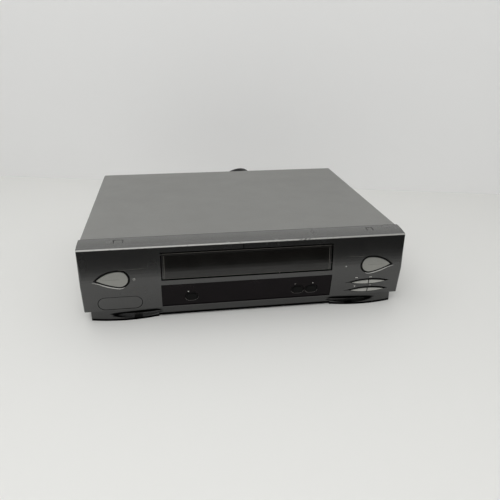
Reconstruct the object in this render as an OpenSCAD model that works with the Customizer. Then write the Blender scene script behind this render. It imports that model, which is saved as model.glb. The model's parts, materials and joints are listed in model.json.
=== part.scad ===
// Video cassette recorder with a front-loading slot, its deck and its mains lead.
// Right is +X, the back is +Y and up is +Z; the origin is under the middle of the case.
// Depths are measured from the front-most line of the fascia, its knee, towards the back.

/* [Case] */
// Width of the front moulding, the widest part of the case
body_w = 380; // [376:1:400]
// Depth from the knee of the fascia to the rear edge of the cover
body_d = 314; // [308:1:340]
// Height from the feet to the top of the cover
body_h = 96; // [93.5:0.5:104]
// Thickness of the cover's steel sheet
cover_t = 1; // [0.8:0.1:1.2]
// Radius of the bend along the cover's top edges
cover_bend_r = 2.5; // [2:0.5:5]
// How far the cover's sides stand inside the sides of the fascia
cover_step = 1; // [0.5:0.1:1.5]
// Depth of the joint between fascia and cover
cover_start = 28; // [26:1:32]
// Height of the cover's lower edges
cover_bottom = 14; // [11:1:20]
// How far the rear panel stands inside the cover's rear edge
rear_recess = 10; // [9:1:14]
// Thickness of the rear panel
panel_t = 2; // [1.5:0.1:2.5]
// Diameter of a rear foot
foot_d = 20; // [14:1:24]
// Height of the chassis floor above the table, which is the height of the rear feet
foot_h = 8; // [7:0.5:8.5]

/* [Fascia] */
// Wall of the moulded fascia
wall = 2.5; // [2:0.1:3]
// Radius of the fascia's upright corners
corner_r = 3; // [1:0.5:5]
// Fall of the top slope from the cover to the bright front edge
slope_drop = 2.5; // [2:0.5:5]
// Depth of the bright front edge
edge_depth = 2; // [1:0.5:3]
// Radius of the bright front edge
edge_r = 1.4; // [0.8:0.1:2]
// Height of the knee, the front-most line
knee_z = 57.7; // [54:0.1:60]
// Depth of the fascia's lower edge
lower_depth = 7; // [5:0.5:8]
// Height of the fascia's lower edge, above the plinth
plinth_h = 14; // [12:0.1:15]

/* [Plinth] */
// How far the plinth's ends stand inside the sides of the fascia
plinth_inset = 7; // [4:0.5:14]
// Depth of the plinth's straight front
plinth_depth = 12; // [11:0.5:14]
// How far the foot at each end of the plinth bulges forward
foot_bulge = 5; // [2:0.5:6]
// Distance from the middle to the inner end of a front foot
foot_inner = 105; // [98:1:115]
// Clearance between the table and the plinth between the feet
plinth_lift = 2; // [1:0.5:3]
// Length of the scoop in the front of each foot
scoop_w = 60; // [40:1:64]
// Height of the scoop at its middle
scoop_h = 8; // [3:0.5:9]

/* [Cassette door] */
// Width of the hinged cassette flap
flap_w = 199; // [196:0.5:200.5]
// Height of the hinged cassette flap
flap_h = 31.2; // [30:0.2:32]
// Height of the flap's lower edge
flap_z = 52.9; // [51:0.1:54]
// Gap all round the flap in its opening
flap_gap = 1.2; // [0.6:0.1:1.4]
// Thickness of the flap
flap_t = 3; // [2.6:0.1:3.2]
// How far the flap, the window and the two drop buttons lie right of the middle
front_shift = 1.3; // [-2:0.1:2]
// How far the flap's front face lies behind the knee
flap_depth = 1.4; // [1.2:0.1:1.6]
// Diameter of the flap's hinge pins
flap_pin_d = 2.4; // [2:0.1:2.8]
// Width of the raised border round the smoked panel of the flap
flap_border = 3; // [2:0.5:5]
// Thickness of the smoked panel of the flap
flap_lens_t = 1; // [0.8:0.1:1.2]

/* [Display window] */
// Width of the display window
window_w = 203; // [196:0.5:204]
// Height of the display window
window_h = 30.4; // [28:0.2:31]
// Height of the window's lower edge
window_z = 15.3; // [13.4:0.1:16]
// How far the smoked window lies behind the fascia's face
window_sink = 1; // [0.6:0.1:1.2]
// Thickness of the smoked window
window_t = 2; // [1.5:0.1:2.5]
// Width of the display tube's glass
tube_w = 92; // [70:1:96]
// Height of the display tube's glass
tube_h = 20; // [16:1:22]

/* [Buttons] */
// Radius of the round end of the power and play buttons
drop_r = 9.1; // [8:0.1:10]
// Distance from that round end's centre to the button's point
drop_reach = 25.4; // [22:0.2:28]
// Radius of the fuller upper flank of these buttons
drop_upper_r = 34; // [32:1:40]
// Radius of the flatter lower flank of these buttons
drop_lower_r = 80; // [60:1:100]
// Distance from the side of the case to the round ends' centres
drop_inset = 43; // [40:0.5:45]
// Height of the power and play buttons
drop_z = 56.5; // [54:0.1:58]
// Width of a pair of leaf-shaped tape buttons
leaf_w = 41.4; // [40:0.2:48]
// Height of a pair of leaf-shaped tape buttons
leaf_h = 4.6; // [4:0.2:7]
// Distance from the side of the case to the split of the tape buttons
leaf_inset = 39.8; // [38:0.2:42]
// Height of the upper pair of tape buttons
leaf_upper_z = 32.2; // [30:0.1:34]
// Height of the lower pair of tape buttons
leaf_lower_z = 20.3; // [18.4:0.1:21]
// Gap between the two buttons of a pair
leaf_split = 0.7; // [0.6:0.1:1]
// Length of the opening that a pair of tape buttons lies in
cavity_w = 52; // [50:0.2:54]
// Height of the opening that a pair of tape buttons lies in
cavity_h = 8; // [7.6:0.1:9.4]
// How far that opening's middle lies above the buttons
cavity_rise = 1.1; // [0.8:0.1:1.6]
// Width of the oval buttons in the window
oval_w = 13.5; // [12:0.5:14]
// Height of the oval buttons in the window
oval_h = 9; // [8:0.5:10]
// Distance from the middle to the record button, on the left
record_x = 65.6; // [60:0.2:80]
// Distance from the middle to the channel down button, on the right
channel_down_x = 61.8; // [60:0.2:62]
// Distance from the middle to the channel up button, on the right
channel_up_x = 78.8; // [78.6:0.2:84]
// Height of the oval buttons
oval_z = 27; // [24:0.5:30]
// Gap between a button and the wall round it
button_gap = 0.9; // [0.4:0.1:1]
// How far a silver button stands proud of the fascia
button_proud = 0.6; // [0.3:0.1:1]
// Travel of a button
button_travel = 0.6; // [0.4:0.1:0.8]
// Width of the rim that keeps a button behind its wall
button_rim = 1.2; // [1:0.1:1.4]
// Diameter of the peg behind a button
peg_d = 4; // [3:0.5:5]

/* [Badge] */
// Length of the oval badge plate
badge_w = 51; // [40:1:56]
// Height of the oval badge plate
badge_h = 18; // [14:0.2:19]
// Distance from the left side of the case to the badge's centre
badge_inset = 42.2; // [40:0.2:46]
// Height of the badge's centre
badge_z = 24.4; // [23:0.2:27]
// Groove round the badge plate
badge_gap = 0.7; // [0.2:0.1:1]
// Depth of the badge's recess
badge_sink = 0.8; // [0.4:0.1:1.2]

/* [Front electronics] */
// Depth of the front face of the upright control board
board_depth = 21; // [20:0.5:22]
// Thickness of the circuit boards
board_t = 1.6; // [1.2:0.2:2]
// Side of a key switch
switch_w = 6; // [5:0.5:7]
// Height of a key switch off its board
switch_t = 3.6; // [3:0.2:4]
// Diameter of a key switch's plunger
plunger_d = 3; // [2.5:0.1:3.5]
// Length of a key switch's plunger
plunger_l = 1.2; // [0.8:0.1:1.6]

/* [Deck] */
// Height of the deck plate's upper face
deck_z = 26; // [25.5:0.1:26.5]
// Thickness of the deck plate
deck_t = 1.2; // [1:0.1:1.5]
// Width of the deck plate
deck_w = 216; // [210:1:218]
// Depth of the deck plate's front edge
deck_front = 40; // [38:1:44]
// Depth of the deck plate's rear edge
deck_rear = 248; // [246:1:252]
// Distance between the two reel tables
reel_pitch = 92; // [88:1:96]
// Depth of the reel tables' axes
reel_depth = 94; // [92:1:96]
// Diameter of a reel table's drive rim
reel_rim_d = 48; // [44:1:49]
// Diameter of a reel table's splined hub
hub_d = 17; // [14:0.5:20]
// Height of a reel table's hub above its rim
hub_h = 11; // [9:0.5:12]
// Diameter of the head drum
drum_d = 62; // [58:0.5:62]
// Depth of the head drum's axis
drum_depth = 195; // [194:1:198]
// Tilt of the head drum
drum_tilt = 5; // [3:0.5:6]
// Height of the fixed lower drum
lower_drum_h = 19; // [15:1:21]
// Height of the turning upper drum
upper_drum_h = 17; // [14:1:18]
// Diameter of the drum's axle
drum_axle_d = 6; // [4:0.5:7]

/* [Capstan drive] */
// Distance of the capstan from the middle
capstan_x = 62; // [61:0.5:64]
// Depth of the capstan
capstan_depth = 166; // [165:0.5:167]
// Diameter of the capstan shaft
capstan_d = 5; // [4:0.5:5.5]
// Height of the capstan shaft's tip
capstan_top = 56; // [52:1:58]
// Diameter of the capstan flywheel
flywheel_d = 56; // [48:1:60]
// Thickness of the capstan flywheel
flywheel_t = 3.4; // [3:0.1:3.8]
// Pitch diameter of the capstan's belt pulley
capstan_pulley_d = 24; // [20:1:28]
// Pitch diameter of the clutch's belt pulley
clutch_pulley_d = 32; // [28:1:36]
// Thickness of both belt pulleys
pulley_t = 3; // [2.6:0.1:3.2]
// Side of the square drive belt
belt_t = 1.4; // [1:0.1:1.6]
// Depth of the clutch's axis
clutch_depth = 100; // [99:0.5:101]
// Diameter of the clutch's drive roller
clutch_roller_d = 12; // [10:0.5:14]
// Diameter of the idler wheel's tyre
idler_d = 20; // [18:0.5:22]

/* [Tape loading] */
// Module of the loading gears' teeth
gear_module = 1; // [0.9:0.05:1.05]
// Teeth on the cam gear
cam_teeth = 40; // [38:1:42]
// Teeth on the loading pinion
pinion_teeth = 16; // [14:1:18]
// Thickness of the loading gears
gear_t = 5; // [4:0.5:6]
// Distance of the cam gear from the middle, on the left
cam_x = 76; // [75:0.5:78]
// Depth of the cam gear
cam_depth = 202; // [201:0.5:204]
// Diameter of the loading motor's can
motor_d = 24; // [20:1:26]
// Diameter of a tape guide's roller
guide_d = 6; // [5:0.5:7]
// Height of a tape guide's roller
guide_h = 18; // [16:0.5:20]
// Distance from the middle to a tape guide at rest
guide_x = 30; // [29:0.5:32]
// Depth of a tape guide at rest
guide_depth = 138; // [137:0.5:140]
// Sideways travel of a tape guide
guide_run_x = 12; // [11:0.5:12.5]
// Rearward travel of a tape guide
guide_run_y = 62; // [58:1:63]
// Diameter of the pinch roller
pinch_d = 13; // [12:0.5:14]
// Height of the pinch roller
pinch_h = 15; // [13:0.5:16]
// Distance of the pinch arm's pivot from the middle
pinch_pivot_x = 86; // [85:0.5:88]
// Depth of the pinch arm's pivot
pinch_pivot_depth = 172; // [171:0.5:174]
// Swing of the pinch arm, up to the capstan
pinch_swing = 24.5; // [22:0.5:26]
// Distance of the tension arm's pivot from the middle, on the left
tension_x = 66; // [65:0.5:68]
// Depth of the tension arm's pivot
tension_depth = 160; // [159:0.5:162]
// Length of the tension arm
tension_l = 27; // [25:0.5:28]

/* [Cassette carriage] */
// Width of the space for a cassette between the carriage's walls
cassette_w = 188; // [187:0.1:189]
// Height of the space for a cassette, from ledge to bridge
cassette_h = 26; // [25:0.2:26.6]
// Height of the ledges that the cassette rests on, when it goes in
ledge_z = 54; // [53.4:0.1:54]
// Thickness of the carriage's sheet metal
sheet_t = 1.5; // [1.2:0.1:1.6]
// Width of the ledges
ledge_w = 10; // [8:0.5:11]
// Depth of the ledges' front ends, at rest
tray_front = 26; // [25:0.5:30]
// Depth of the carriage's rear edge, at rest
tray_rear = 96; // [92:1:96]
// Travel of the carriage towards the drum
tray_in = 58; // [50:1:58]
// Travel of the carriage down onto the reel tables
tray_down = 19.5; // [16:0.5:20]
// Gap between the carriage's walls and the slides beside them
slide_gap = 1; // [0.6:0.1:1.2]
// Gap between the slides and the fixed side brackets
bracket_gap = 2; // [1.6:0.1:2.4]
// Diameter of the carriage's guide pins
guide_pin_d = 3; // [2.4:0.1:3.4]

/* [Sockets and lead] */
// Distance of the sockets' column from the middle, on the left
aerial_x = 147; // [140:1:150]
// Diameter of the barrels of the two aerial sockets
aerial_d = 9.5; // [9:0.1:10]
// Distance between the two aerial sockets
aerial_pitch = 18; // [15:0.5:22]
// Length of the aerial barrels behind the rear panel
aerial_l = 8.5; // [6:0.5:8.9]
// Width of the shell of a 21-pin audio and video socket
scart_w = 47; // [44:0.5:48]
// Height of that shell
scart_h = 13; // [12:0.5:14]
// Distance between the two 21-pin sockets
scart_pitch = 60; // [56:1:64]
// Diameter of the mains lead
cord_d = 7; // [6:0.1:7]
// Length of the strain relief behind the rear panel
relief_l = 28; // [24:1:32]
// Width of the mains plug
plug_w = 50; // [46:1:52]
// Length of the mains plug
plug_l = 46; // [42:1:50]
// Thickness of the mains plug
plug_t = 22; // [21.5:0.5:24]

/* [Hidden] */
$fn = 64;

// Places on the front, as distances from the middle
plinth_w = body_w - 2 * plinth_inset;
drop_x = body_w / 2 - drop_inset;
leaf_x = body_w / 2 - leaf_inset;
badge_x = body_w / 2 - badge_inset;
// A solid longer than any cut needs, and a hair that keeps cuts from ending on a face
far = 600;
hair = 0.01;
// Clearance between pieces that only lie against each other
seat = 0.2;
// Clearance between pieces that move past each other
clear = 0.4;
// Clearance of a shaft in its bore, on the radius
run_fit = 0.05;

// The y of a point that lies a depth behind the knee
function y_at(depth) = depth - body_d / 2;
// A point on a circle
function on_circle(centre, r, a) = [centre[0] + r * cos(a), centre[1] + r * sin(a)];
// Points along an arc, in n steps
function arc(centre, r, from, to, n) =
    [for (i = [0 : n]) on_circle(centre, r, from + (to - from) * i / n)];
// Where two circles meet, on the left of the way from the first to the second
function meet(c1, r1, c2, r2) =
    let (
        d = norm(c2 - c1),
        u = (c2 - c1) / d,
        a = (d * d + r1 * r1 - r2 * r2) / (2 * d),
        h = sqrt(r1 * r1 - a * a)
    )
    c1 + a * u + h * [-u[1], u[0]];

// A flat outline drawn in y and z, stretched sideways about the middle
module along_x(length, middle = 0) {
    translate([middle, 0, 0]) rotate([90, 0, 90]) linear_extrude(length, center = true) children();
}
// A flat outline drawn in x and z, stretched from one depth to another
module along_y(from, to) {
    translate([0, y_at(to), 0]) rotate([90, 0, 0]) linear_extrude(to - from) children();
}
// A block between two depths, about the middle in x
module block(width, from, to, bottom, top, x = 0) {
    translate([x - width / 2, y_at(from), bottom]) cube([width, to - from, top - bottom]);
}
// An upright cylinder at a place in the plan
module post(d, bottom, top, x, depth) {
    translate([x, y_at(depth), bottom]) cylinder(d = d, h = top - bottom);
}
// A tube along points, with rings turned square to the way; up is never along it
module tube_along(points, r, sides, up = [0, 0, 1]) {
    n = len(points);
    rings = [for (i = [0 : n - 1])
        let (
            way = points[min(i + 1, n - 1)] - points[max(i - 1, 0)],
            side = cross(way, up) / norm(cross(way, up)),
            over = cross(side, way) / norm(way)
        )
        for (k = [0 : sides - 1])
            points[i] + r * (cos(360 * k / sides) * side + sin(360 * k / sides) * over)];
    walls = [for (i = [0 : n - 2], k = [0 : sides - 1])
        let (
            a = i * sides + k,
            b = i * sides + (k + 1) % sides
        )
        each [[a, b, a + sides], [b, b + sides, a + sides]]];
    ends = [for (k = [1 : sides - 2])
        each [[0, k + 1, k], [(n - 1) * sides, (n - 1) * sides + k, (n - 1) * sides + k + 1]]];
    polyhedron(points = rings, faces = concat(walls, ends));
}

// ---- outlines ----

// A stadium in x and z
module oval(width, height, x, z, grow = 0) {
    r = height / 2;
    reach = width / 2 - r;
    polygon(concat(
        arc([x + reach, z], r + grow, -90, 90, 24),
        arc([x - reach, z], r + grow, 90, 270, 24)
    ));
}
// A leaf with two points, made of two flat arcs
module leaf(width, height, x, z, grow = 0) {
    r = (width * width + height * height) / (4 * height);
    drop = r - height / 2;
    reach = sqrt(pow(r + grow, 2) - drop * drop);
    half_grown = asin(reach / (r + grow));
    polygon(concat(
        arc([x, z - drop], r + grow, 90 - half_grown, 90 + half_grown, 24),
        arc([x, z + drop], r + grow, 270 - half_grown, 270 + half_grown, 24)
    ));
}
// The centre of the flank arc that runs from the point of a drop and blends into its round end
function flank_centre(r) =
    let (cx = (drop_reach * drop_reach + 2 * drop_r * r - drop_r * drop_r) / (2 * drop_reach))
    [cx, -sqrt(r * r - cx * cx)];
// A drop that points outwards, on the side given by 1 or -1; its tail can be drawn out
module drop_outline(side, grow = 0, tail = 0) {
    end = [drop_reach, 0];
    up = flank_centre(drop_upper_r);
    low_up = flank_centre(drop_lower_r);
    low = [low_up[0], -low_up[1]];
    tip = meet(up, drop_upper_r + grow, low, drop_lower_r + grow);
    up_end = atan2(end[1] - up[1], end[0] - up[0]);
    up_start = atan2(tip[1] - up[1], tip[0] - up[0]);
    low_end = atan2(end[1] - low[1], end[0] - low[0]);
    low_start = atan2(tip[1] - low[1], tip[0] - low[0]);
    points = concat(
        [tip - [tail, 0]],
        arc(up, drop_upper_r + grow, up_start, up_end, 12),
        arc(end, drop_r + grow, up_end, low_end, 20),
        arc(low, drop_lower_r + grow, low_end, low_start < 0 ? low_start : low_start - 360, 12)
    );
    polygon([for (p = points)
        [-side * (p[0] - drop_reach) + front_shift + side * drop_x, drop_z + p[1]]]);
}

// ---- the fascia's side profile ----

slope_run = cover_start - edge_depth - 0.7 * edge_r;
slope_a = 2 * atan(slope_drop / slope_run);
slope_r = slope_run / sin(slope_a);
edge_centre = [
    cover_start - slope_run + edge_r * sin(slope_a),
    body_h - slope_drop - edge_r * cos(slope_a)
];
edge_front = edge_centre[0] - edge_r;
// Depth of the fascia's face at a height
function face_depth(z) = z > knee_z
    ? edge_front * pow((z - knee_z) / (edge_centre[1] - knee_z), 2)
    : lower_depth * pow((knee_z - z) / (knee_z - plinth_h), 1.5);
face_line = concat(
    arc([cover_start, body_h - slope_r], slope_r, 90, 90 + slope_a, 8),
    arc(edge_centre, edge_r, 90 + slope_a, 180, 5),
    [for (i = [1 : 7])
        let (z = edge_centre[1] + (knee_z - edge_centre[1]) * i / 8) [face_depth(z), z]],
    [for (i = [0 : 12])
        let (z = knee_z + (plinth_h - knee_z) * i / 12) [face_depth(z), z]]
);
// The whole side profile, moved back or down, and open to the rear
module face_profile(back = 0, down = 0, rear = 0) {
    line = [for (p = face_line) [y_at(p[0] + back), p[1] - down]];
    polygon(concat(
        [[y_at(cover_start + rear), body_h - down]],
        line,
        [[y_at(cover_start + rear), plinth_h - down]]
    ));
}
// A layer that follows the face, between two distances behind it
module face_layer(from, to) {
    front = [for (p = face_line) if (p[0] < cover_start - 1) [y_at(p[0] + from), p[1]]];
    back = [for (p = face_line) if (p[0] < cover_start - 1) [y_at(p[0] + to), p[1]]];
    along_x(far) polygon(concat(front, [for (i = [len(back) - 1 : -1 : 0]) back[i]]));
}
// The plan of the fascia, with its front corners rounded
module fascia_plan() {
    x = body_w / 2 - corner_r;
    polygon(concat(
        [[body_w / 2, far / 2], [-body_w / 2, far / 2]],
        arc([-x, corner_r], corner_r, 180, 270, 8),
        arc([x, corner_r], corner_r, 270, 360, 8)
    ));
}
// The fascia's body without its openings: the profile, with both ends rounded up the face
lean = atan((lower_depth - face_depth(50)) / (50 - plinth_h));
module fascia_body() {
    intersection() {
        along_x(body_w) face_profile();
        translate([0, y_at(0), 0]) linear_extrude(body_h) fascia_plan();
        translate([0, y_at(lower_depth - 0.6), plinth_h]) rotate([lean, 0, 0])
            translate([0, 0, -far / 4]) linear_extrude(far) fascia_plan();
    }
}
module fascia_hollow() {
    intersection() {
        along_x(body_w - 2 * wall) face_profile(back = wall, rear = 5);
        along_x(body_w - 2 * wall) face_profile(down = wall, rear = 5);
        block(body_w, 0, cover_start + 5, plinth_h + wall, body_h);
    }
}

// ---- the plinth ----

foot_outer = plinth_w / 2;
foot_half = (foot_outer - foot_inner) / 2;
foot_r = (foot_half * foot_half + foot_bulge * foot_bulge) / (2 * foot_bulge);
foot_a = asin(foot_half / foot_r);
chassis_front = cover_start + 2;
// The plan of the plinth, whose front line bulges over each foot
module plinth_plan() {
    x = (foot_outer + foot_inner) / 2;
    y = y_at(plinth_depth - foot_bulge + foot_r);
    polygon(concat(
        [[foot_outer, y_at(chassis_front)], [-foot_outer, y_at(chassis_front)]],
        [[-foot_outer, y_at(plinth_depth)]],
        arc([-x, y], foot_r, 270 - foot_a + 1, 270 + foot_a - 1, 12),
        arc([x, y], foot_r, 270 - foot_a + 1, 270 + foot_a - 1, 12),
        [[foot_outer, y_at(plinth_depth)]]
    ));
}
module plinth() {
    difference() {
        linear_extrude(plinth_h + hair) plinth_plan();
        // hollow behind the front wall, so the bulges are solid
        block(plinth_w - 2 * wall, plinth_depth + wall, chassis_front + 1, wall, plinth_h + 1);
        // the middle stands clear of the table
        block(2 * foot_inner, 0, cover_start + 5, -1, plinth_lift);
        // the middle is open below, behind its front wall
        block(2 * foot_inner - 2 * wall, plinth_depth + wall, cover_start + 5, -1, plinth_h + 1);
        for (side = [-1, 1]) {
            // the dark scoop under the lower edge
            along_y(0, plinth_depth + 1) leaf(
                scoop_w, scoop_h, side * (foot_inner + scoop_w / 2 - 6), plinth_h - scoop_h + 0.5
            );
        }
    }
}

// ---- the moulded front ----

flap_axis_depth = flap_depth + flap_t + 0.6;
flap_axis_z = flap_z + flap_h - 2;
lug_t = 3;
lug_x = flap_w / 2 + flap_gap;
board_post_d = 6;
board_posts = [[112, 40], [116, 68]];
tab_w = 20;
tab_t = 1.5;
slit_w = 0.6;
slit_depth = 0.8;
// A U-shaped slit round a latch in the top slope: its middle and width
module latch_slit(x, width) {
    front = 14;
    rear = 22;
    block(width, rear - slit_w, rear, body_h - slope_drop, body_h + 1, x);
    for (side = [-1, 1])
        block(slit_w, front, rear, body_h - slope_drop, body_h + 1, x + side * (width - slit_w) / 2);
}
// The layer of the slope that the slits are cut in
module slope_layer() {
    difference() {
        along_x(body_w) face_profile(rear = 1);
        along_x(body_w + 2) face_profile(down = slit_depth, rear = 5);
    }
}
module front_fascia() {
    color("dimgray") difference() {
        union() {
            difference() {
                fascia_body();
                fascia_hollow();
            }
            plinth();
            // ears that hold the flap's pins
            for (side = [-1, 1])
                block(lug_t, 2.5, flap_axis_depth + 3, flap_axis_z - 3, flap_axis_z + 3,
                    front_shift + side * (lug_x + lug_t / 2));
            // posts that the control board is screwed to
            for (side = [-1, 1], p = board_posts)
                along_y(face_depth(p[1]) + wall / 2, board_depth)
                    translate([side * p[0], p[1]]) circle(d = board_post_d);
            // tongues that reach under the cover
            for (x = [-150, -50, 50, 150])
                block(tab_w, cover_start - 3, cover_start + 8, body_h - cover_t - seat - tab_t,
                    body_h - cover_t - seat, x);
        }
        // cassette opening
        block(flap_w + 2 * flap_gap, -5, 9, flap_z - flap_gap, flap_z + flap_h + flap_gap,
            front_shift);
        // window opening
        block(window_w, -5, plinth_depth, window_z, window_z + window_h, front_shift);
        // pocket for the flap's spring behind the face
        translate([front_shift - lug_x - lug_t - spring_l - 1, y_at(flap_axis_depth), flap_axis_z])
            rotate([0, 90, 0]) cylinder(d = 2 * spring_r + spring_wire + clear, h = spring_l + 1);
        // bores for the flap's pins
        translate([0, y_at(flap_axis_depth), flap_axis_z]) rotate([0, 90, 0])
            cylinder(d = flap_pin_d + 2 * run_fit, h = flap_w + 20, center = true);
        for (side = [-1, 1]) {
            // way through for a drop button, in its dished surround
            along_y(-5, 12) drop_outline(side, button_gap);
            intersection() {
                along_y(-5, 12) drop_outline(side, 2.4, 4);
                face_layer(-2, 1);
            }
        }
        for (z = [leaf_upper_z, leaf_lower_z])
            along_y(-5, 12) leaf(cavity_w, cavity_h, leaf_x, z + cavity_rise);
        // oval recess for the badge
        intersection() {
            along_y(-5, 12) oval(badge_w, badge_h, -badge_x, badge_z);
            face_layer(-2, badge_sink);
        }
        intersection() {
            union() {
                latch_slit(-145, 11);
                latch_slit(151, 8);
            }
            slope_layer();
        }
    }
}
module badge_plate() {
    color("gray") intersection() {
        along_y(-5, 12) oval(badge_w, badge_h, -badge_x, badge_z, -badge_gap);
        face_layer(0.2, badge_sink);
    }
}

// ---- door, window and buttons ----

module cassette_flap() {
    color([0.12, 0.12, 0.11]) translate([front_shift, 0, 0]) {
        // the flap carries on the curve of the fascia's face
        difference() {
            intersection() {
                block(flap_w, -2, 12, flap_z, flap_z + flap_h);
                face_layer(flap_depth, flap_depth + flap_t);
            }
            // shallow bed of the smoked panel, open at the bottom
            intersection() {
                block(flap_w - 2 * flap_border, -3, 12, flap_z - 1, flap_z + flap_h - flap_border);
                face_layer(flap_depth - 1, flap_depth + flap_lens_t);
            }
        }
        // stiffening rib along the inside of the lower edge
        block(flap_w - 8, flap_depth + flap_t - 0.5, flap_depth + flap_t + 1.2, flap_z, flap_z + 1.6);
        for (side = [-1, 1])
            translate([side * (flap_w / 2 - 1.5), y_at(flap_axis_depth), flap_axis_z])
                rotate([0, 90, 0]) cylinder(d = flap_pin_d + 1.4, h = 3, center = true);
        translate([-lug_x - lug_t - spring_l - 1, y_at(flap_axis_depth), flap_axis_z])
            rotate([0, 90, 0]) cylinder(d = flap_pin_d, h = lug_t + spring_l + 3);
        translate([flap_w / 2 - 1, y_at(flap_axis_depth), flap_axis_z])
            rotate([0, 90, 0]) cylinder(d = flap_pin_d, h = lug_t + flap_gap + 0.6);
    }
}
module flap_lens() {
    color([0.06, 0.06, 0.05]) intersection() {
        block(flap_w - 2 * flap_border - 2 * seat, -2, 12, flap_z,
            flap_z + flap_h - flap_border - seat, front_shift);
        face_layer(flap_depth, flap_depth + flap_lens_t);
    }
}
// The torsion spring round the long left pin
spring_wire = 0.6;
spring_turns = 5;
spring_l = 5.5;
spring_r = flap_pin_d / 2 + spring_wire / 2 + seat;
module flap_spring() {
    start = front_shift - lug_x - lug_t - seat - spring_wire / 2;
    run = spring_l - spring_wire - seat;
    color("silver") tube_along([for (i = [0 : spring_turns * 12])
        [start - run * i / (spring_turns * 12),
            y_at(flap_axis_depth) + spring_r * cos(30 * i),
            flap_axis_z + spring_r * sin(30 * i)]], spring_wire / 2, 6, up = [1, 0, 0]);
}
module display_lens() {
    color([0.08, 0.07, 0.08]) difference() {
        intersection() {
            block(window_w - 2 * seat, -5, plinth_depth + 3, window_z + seat,
                window_z + window_h - seat, front_shift);
            face_layer(window_sink, window_sink + window_t);
        }
        for (x = [-record_x, channel_down_x, channel_up_x])
            along_y(-5, 20) oval(oval_w, oval_h, x, oval_z, button_gap);
    }
}
peg_end = board_depth - switch_t - plunger_l - button_travel - 0.3;
rim_t = 1.5;
// A button: the first child is the outline of its cap, the second that of its hidden rim
module button(sink, skin, proud, x, z) {
    intersection() {
        along_y(-5, 14) children(0);
        face_layer(sink - proud, sink + skin + seat + rim_t);
    }
    intersection() {
        along_y(-5, 14) children(1);
        face_layer(sink + skin + seat, sink + skin + seat + rim_t);
    }
    along_y(face_depth(z) + sink + skin, peg_end) translate([x, z]) circle(d = peg_d);
}
module drop_button(side) {
    color("silver") button(0, wall, button_proud, front_shift + side * drop_x, drop_z) {
        drop_outline(side);
        drop_outline(side, button_gap + button_rim - 0.4);
    }
}
// One half of a pair of leaf buttons: -1 is the left half, 1 the right one
module half_leaf(side, z, rim = 0) {
    // the rim reaches past the opening above and below, within the half's own width
    inner = leaf_x + side * leaf_split / 2;
    outer = leaf_x + side * (leaf_w / 2 - 4);
    low = max(z + cavity_rise - cavity_h / 2 - rim, plinth_h + wall + seat);
    high = z + cavity_rise + cavity_h / 2 + rim;
    intersection() {
        leaf(leaf_w, leaf_h, leaf_x, z, 0);
        translate([side > 0 ? inner : inner - leaf_w, z - far / 2]) square([leaf_w, far]);
    }
    if (rim > 0)
        translate([min(inner, outer), low]) square([abs(outer - inner), high - low]);
}
module leaf_button(side, z) {
    color("silver") button(0, wall, 0.3, leaf_x + side * leaf_w / 4, z) {
        half_leaf(side, z);
        half_leaf(side, z, 0.7);
    }
}
module oval_button(x) {
    color([0.1, 0.1, 0.1]) button(window_sink, window_t, 0.4, x, oval_z) {
        oval(oval_w, oval_h, x, oval_z);
        oval(oval_w, oval_h, x, oval_z, button_gap + button_rim / 2);
    }
}
module power_button() drop_button(-1);
module play_button() drop_button(1);
module rewind_button() leaf_button(-1, leaf_upper_z);
module fast_forward_button() leaf_button(1, leaf_upper_z);
module stop_button() leaf_button(-1, leaf_lower_z);
module pause_button() leaf_button(1, leaf_lower_z);
module record_button() oval_button(-record_x);
module channel_down_button() oval_button(channel_down_x);
module channel_up_button() oval_button(channel_up_x);

// ---- front electronics ----

switch_places = [
    [front_shift - drop_x, drop_z], [front_shift + drop_x, drop_z],
    [leaf_x - leaf_w / 4, leaf_upper_z], [leaf_x + leaf_w / 4, leaf_upper_z],
    [leaf_x - leaf_w / 4, leaf_lower_z], [leaf_x + leaf_w / 4, leaf_lower_z],
    [-record_x, oval_z], [channel_down_x, oval_z], [channel_up_x, oval_z]
];
module control_board() {
    side = 178;
    neck = 106;
    low = plinth_h + wall + seat;
    color("darkgreen") along_y(board_depth, board_depth + board_t) polygon([
        [-side, low], [side, low], [side, 72], [neck, 72], [neck, 45],
        [-neck, 45], [-neck, 72], [-side, 72]
    ]);
}
module key_switches() {
    color("ivory") for (p = switch_places) {
        block(switch_w, board_depth - switch_t, board_depth, p[1] - switch_w / 2,
            p[1] + switch_w / 2, p[0]);
        along_y(board_depth - switch_t - plunger_l, board_depth - switch_t + hair)
            translate(p) circle(d = plunger_d);
    }
}
module display_tube() {
    bottom = 17.5;
    color([0.3, 0.35, 0.35]) {
        block(tube_w, board_depth - 5, board_depth, bottom, bottom + tube_h);
        block(tube_w - 4, board_depth - 7, board_depth - 5 + hair, bottom + 1, bottom + tube_h - 1);
        block(3, board_depth - 6, board_depth - 3, bottom + tube_h - hair, bottom + tube_h + 4, 30);
    }
}

// ---- casing ----

inside_x = body_w / 2 - cover_step - cover_t;
panel_front = body_d - rear_recess - panel_t;
panel_rear = body_d - rear_recess;
sheet = 1;
chassis_x = inside_x - 1.5;
floor_top = foot_h + sheet;
flange_top = 40;
screw_z = 26;
screw_depths = [60, panel_front - 32];
screw_d = 3;
screw_head_d = 8;
foot_x = 150;
foot_depth = panel_front - 30;
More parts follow.
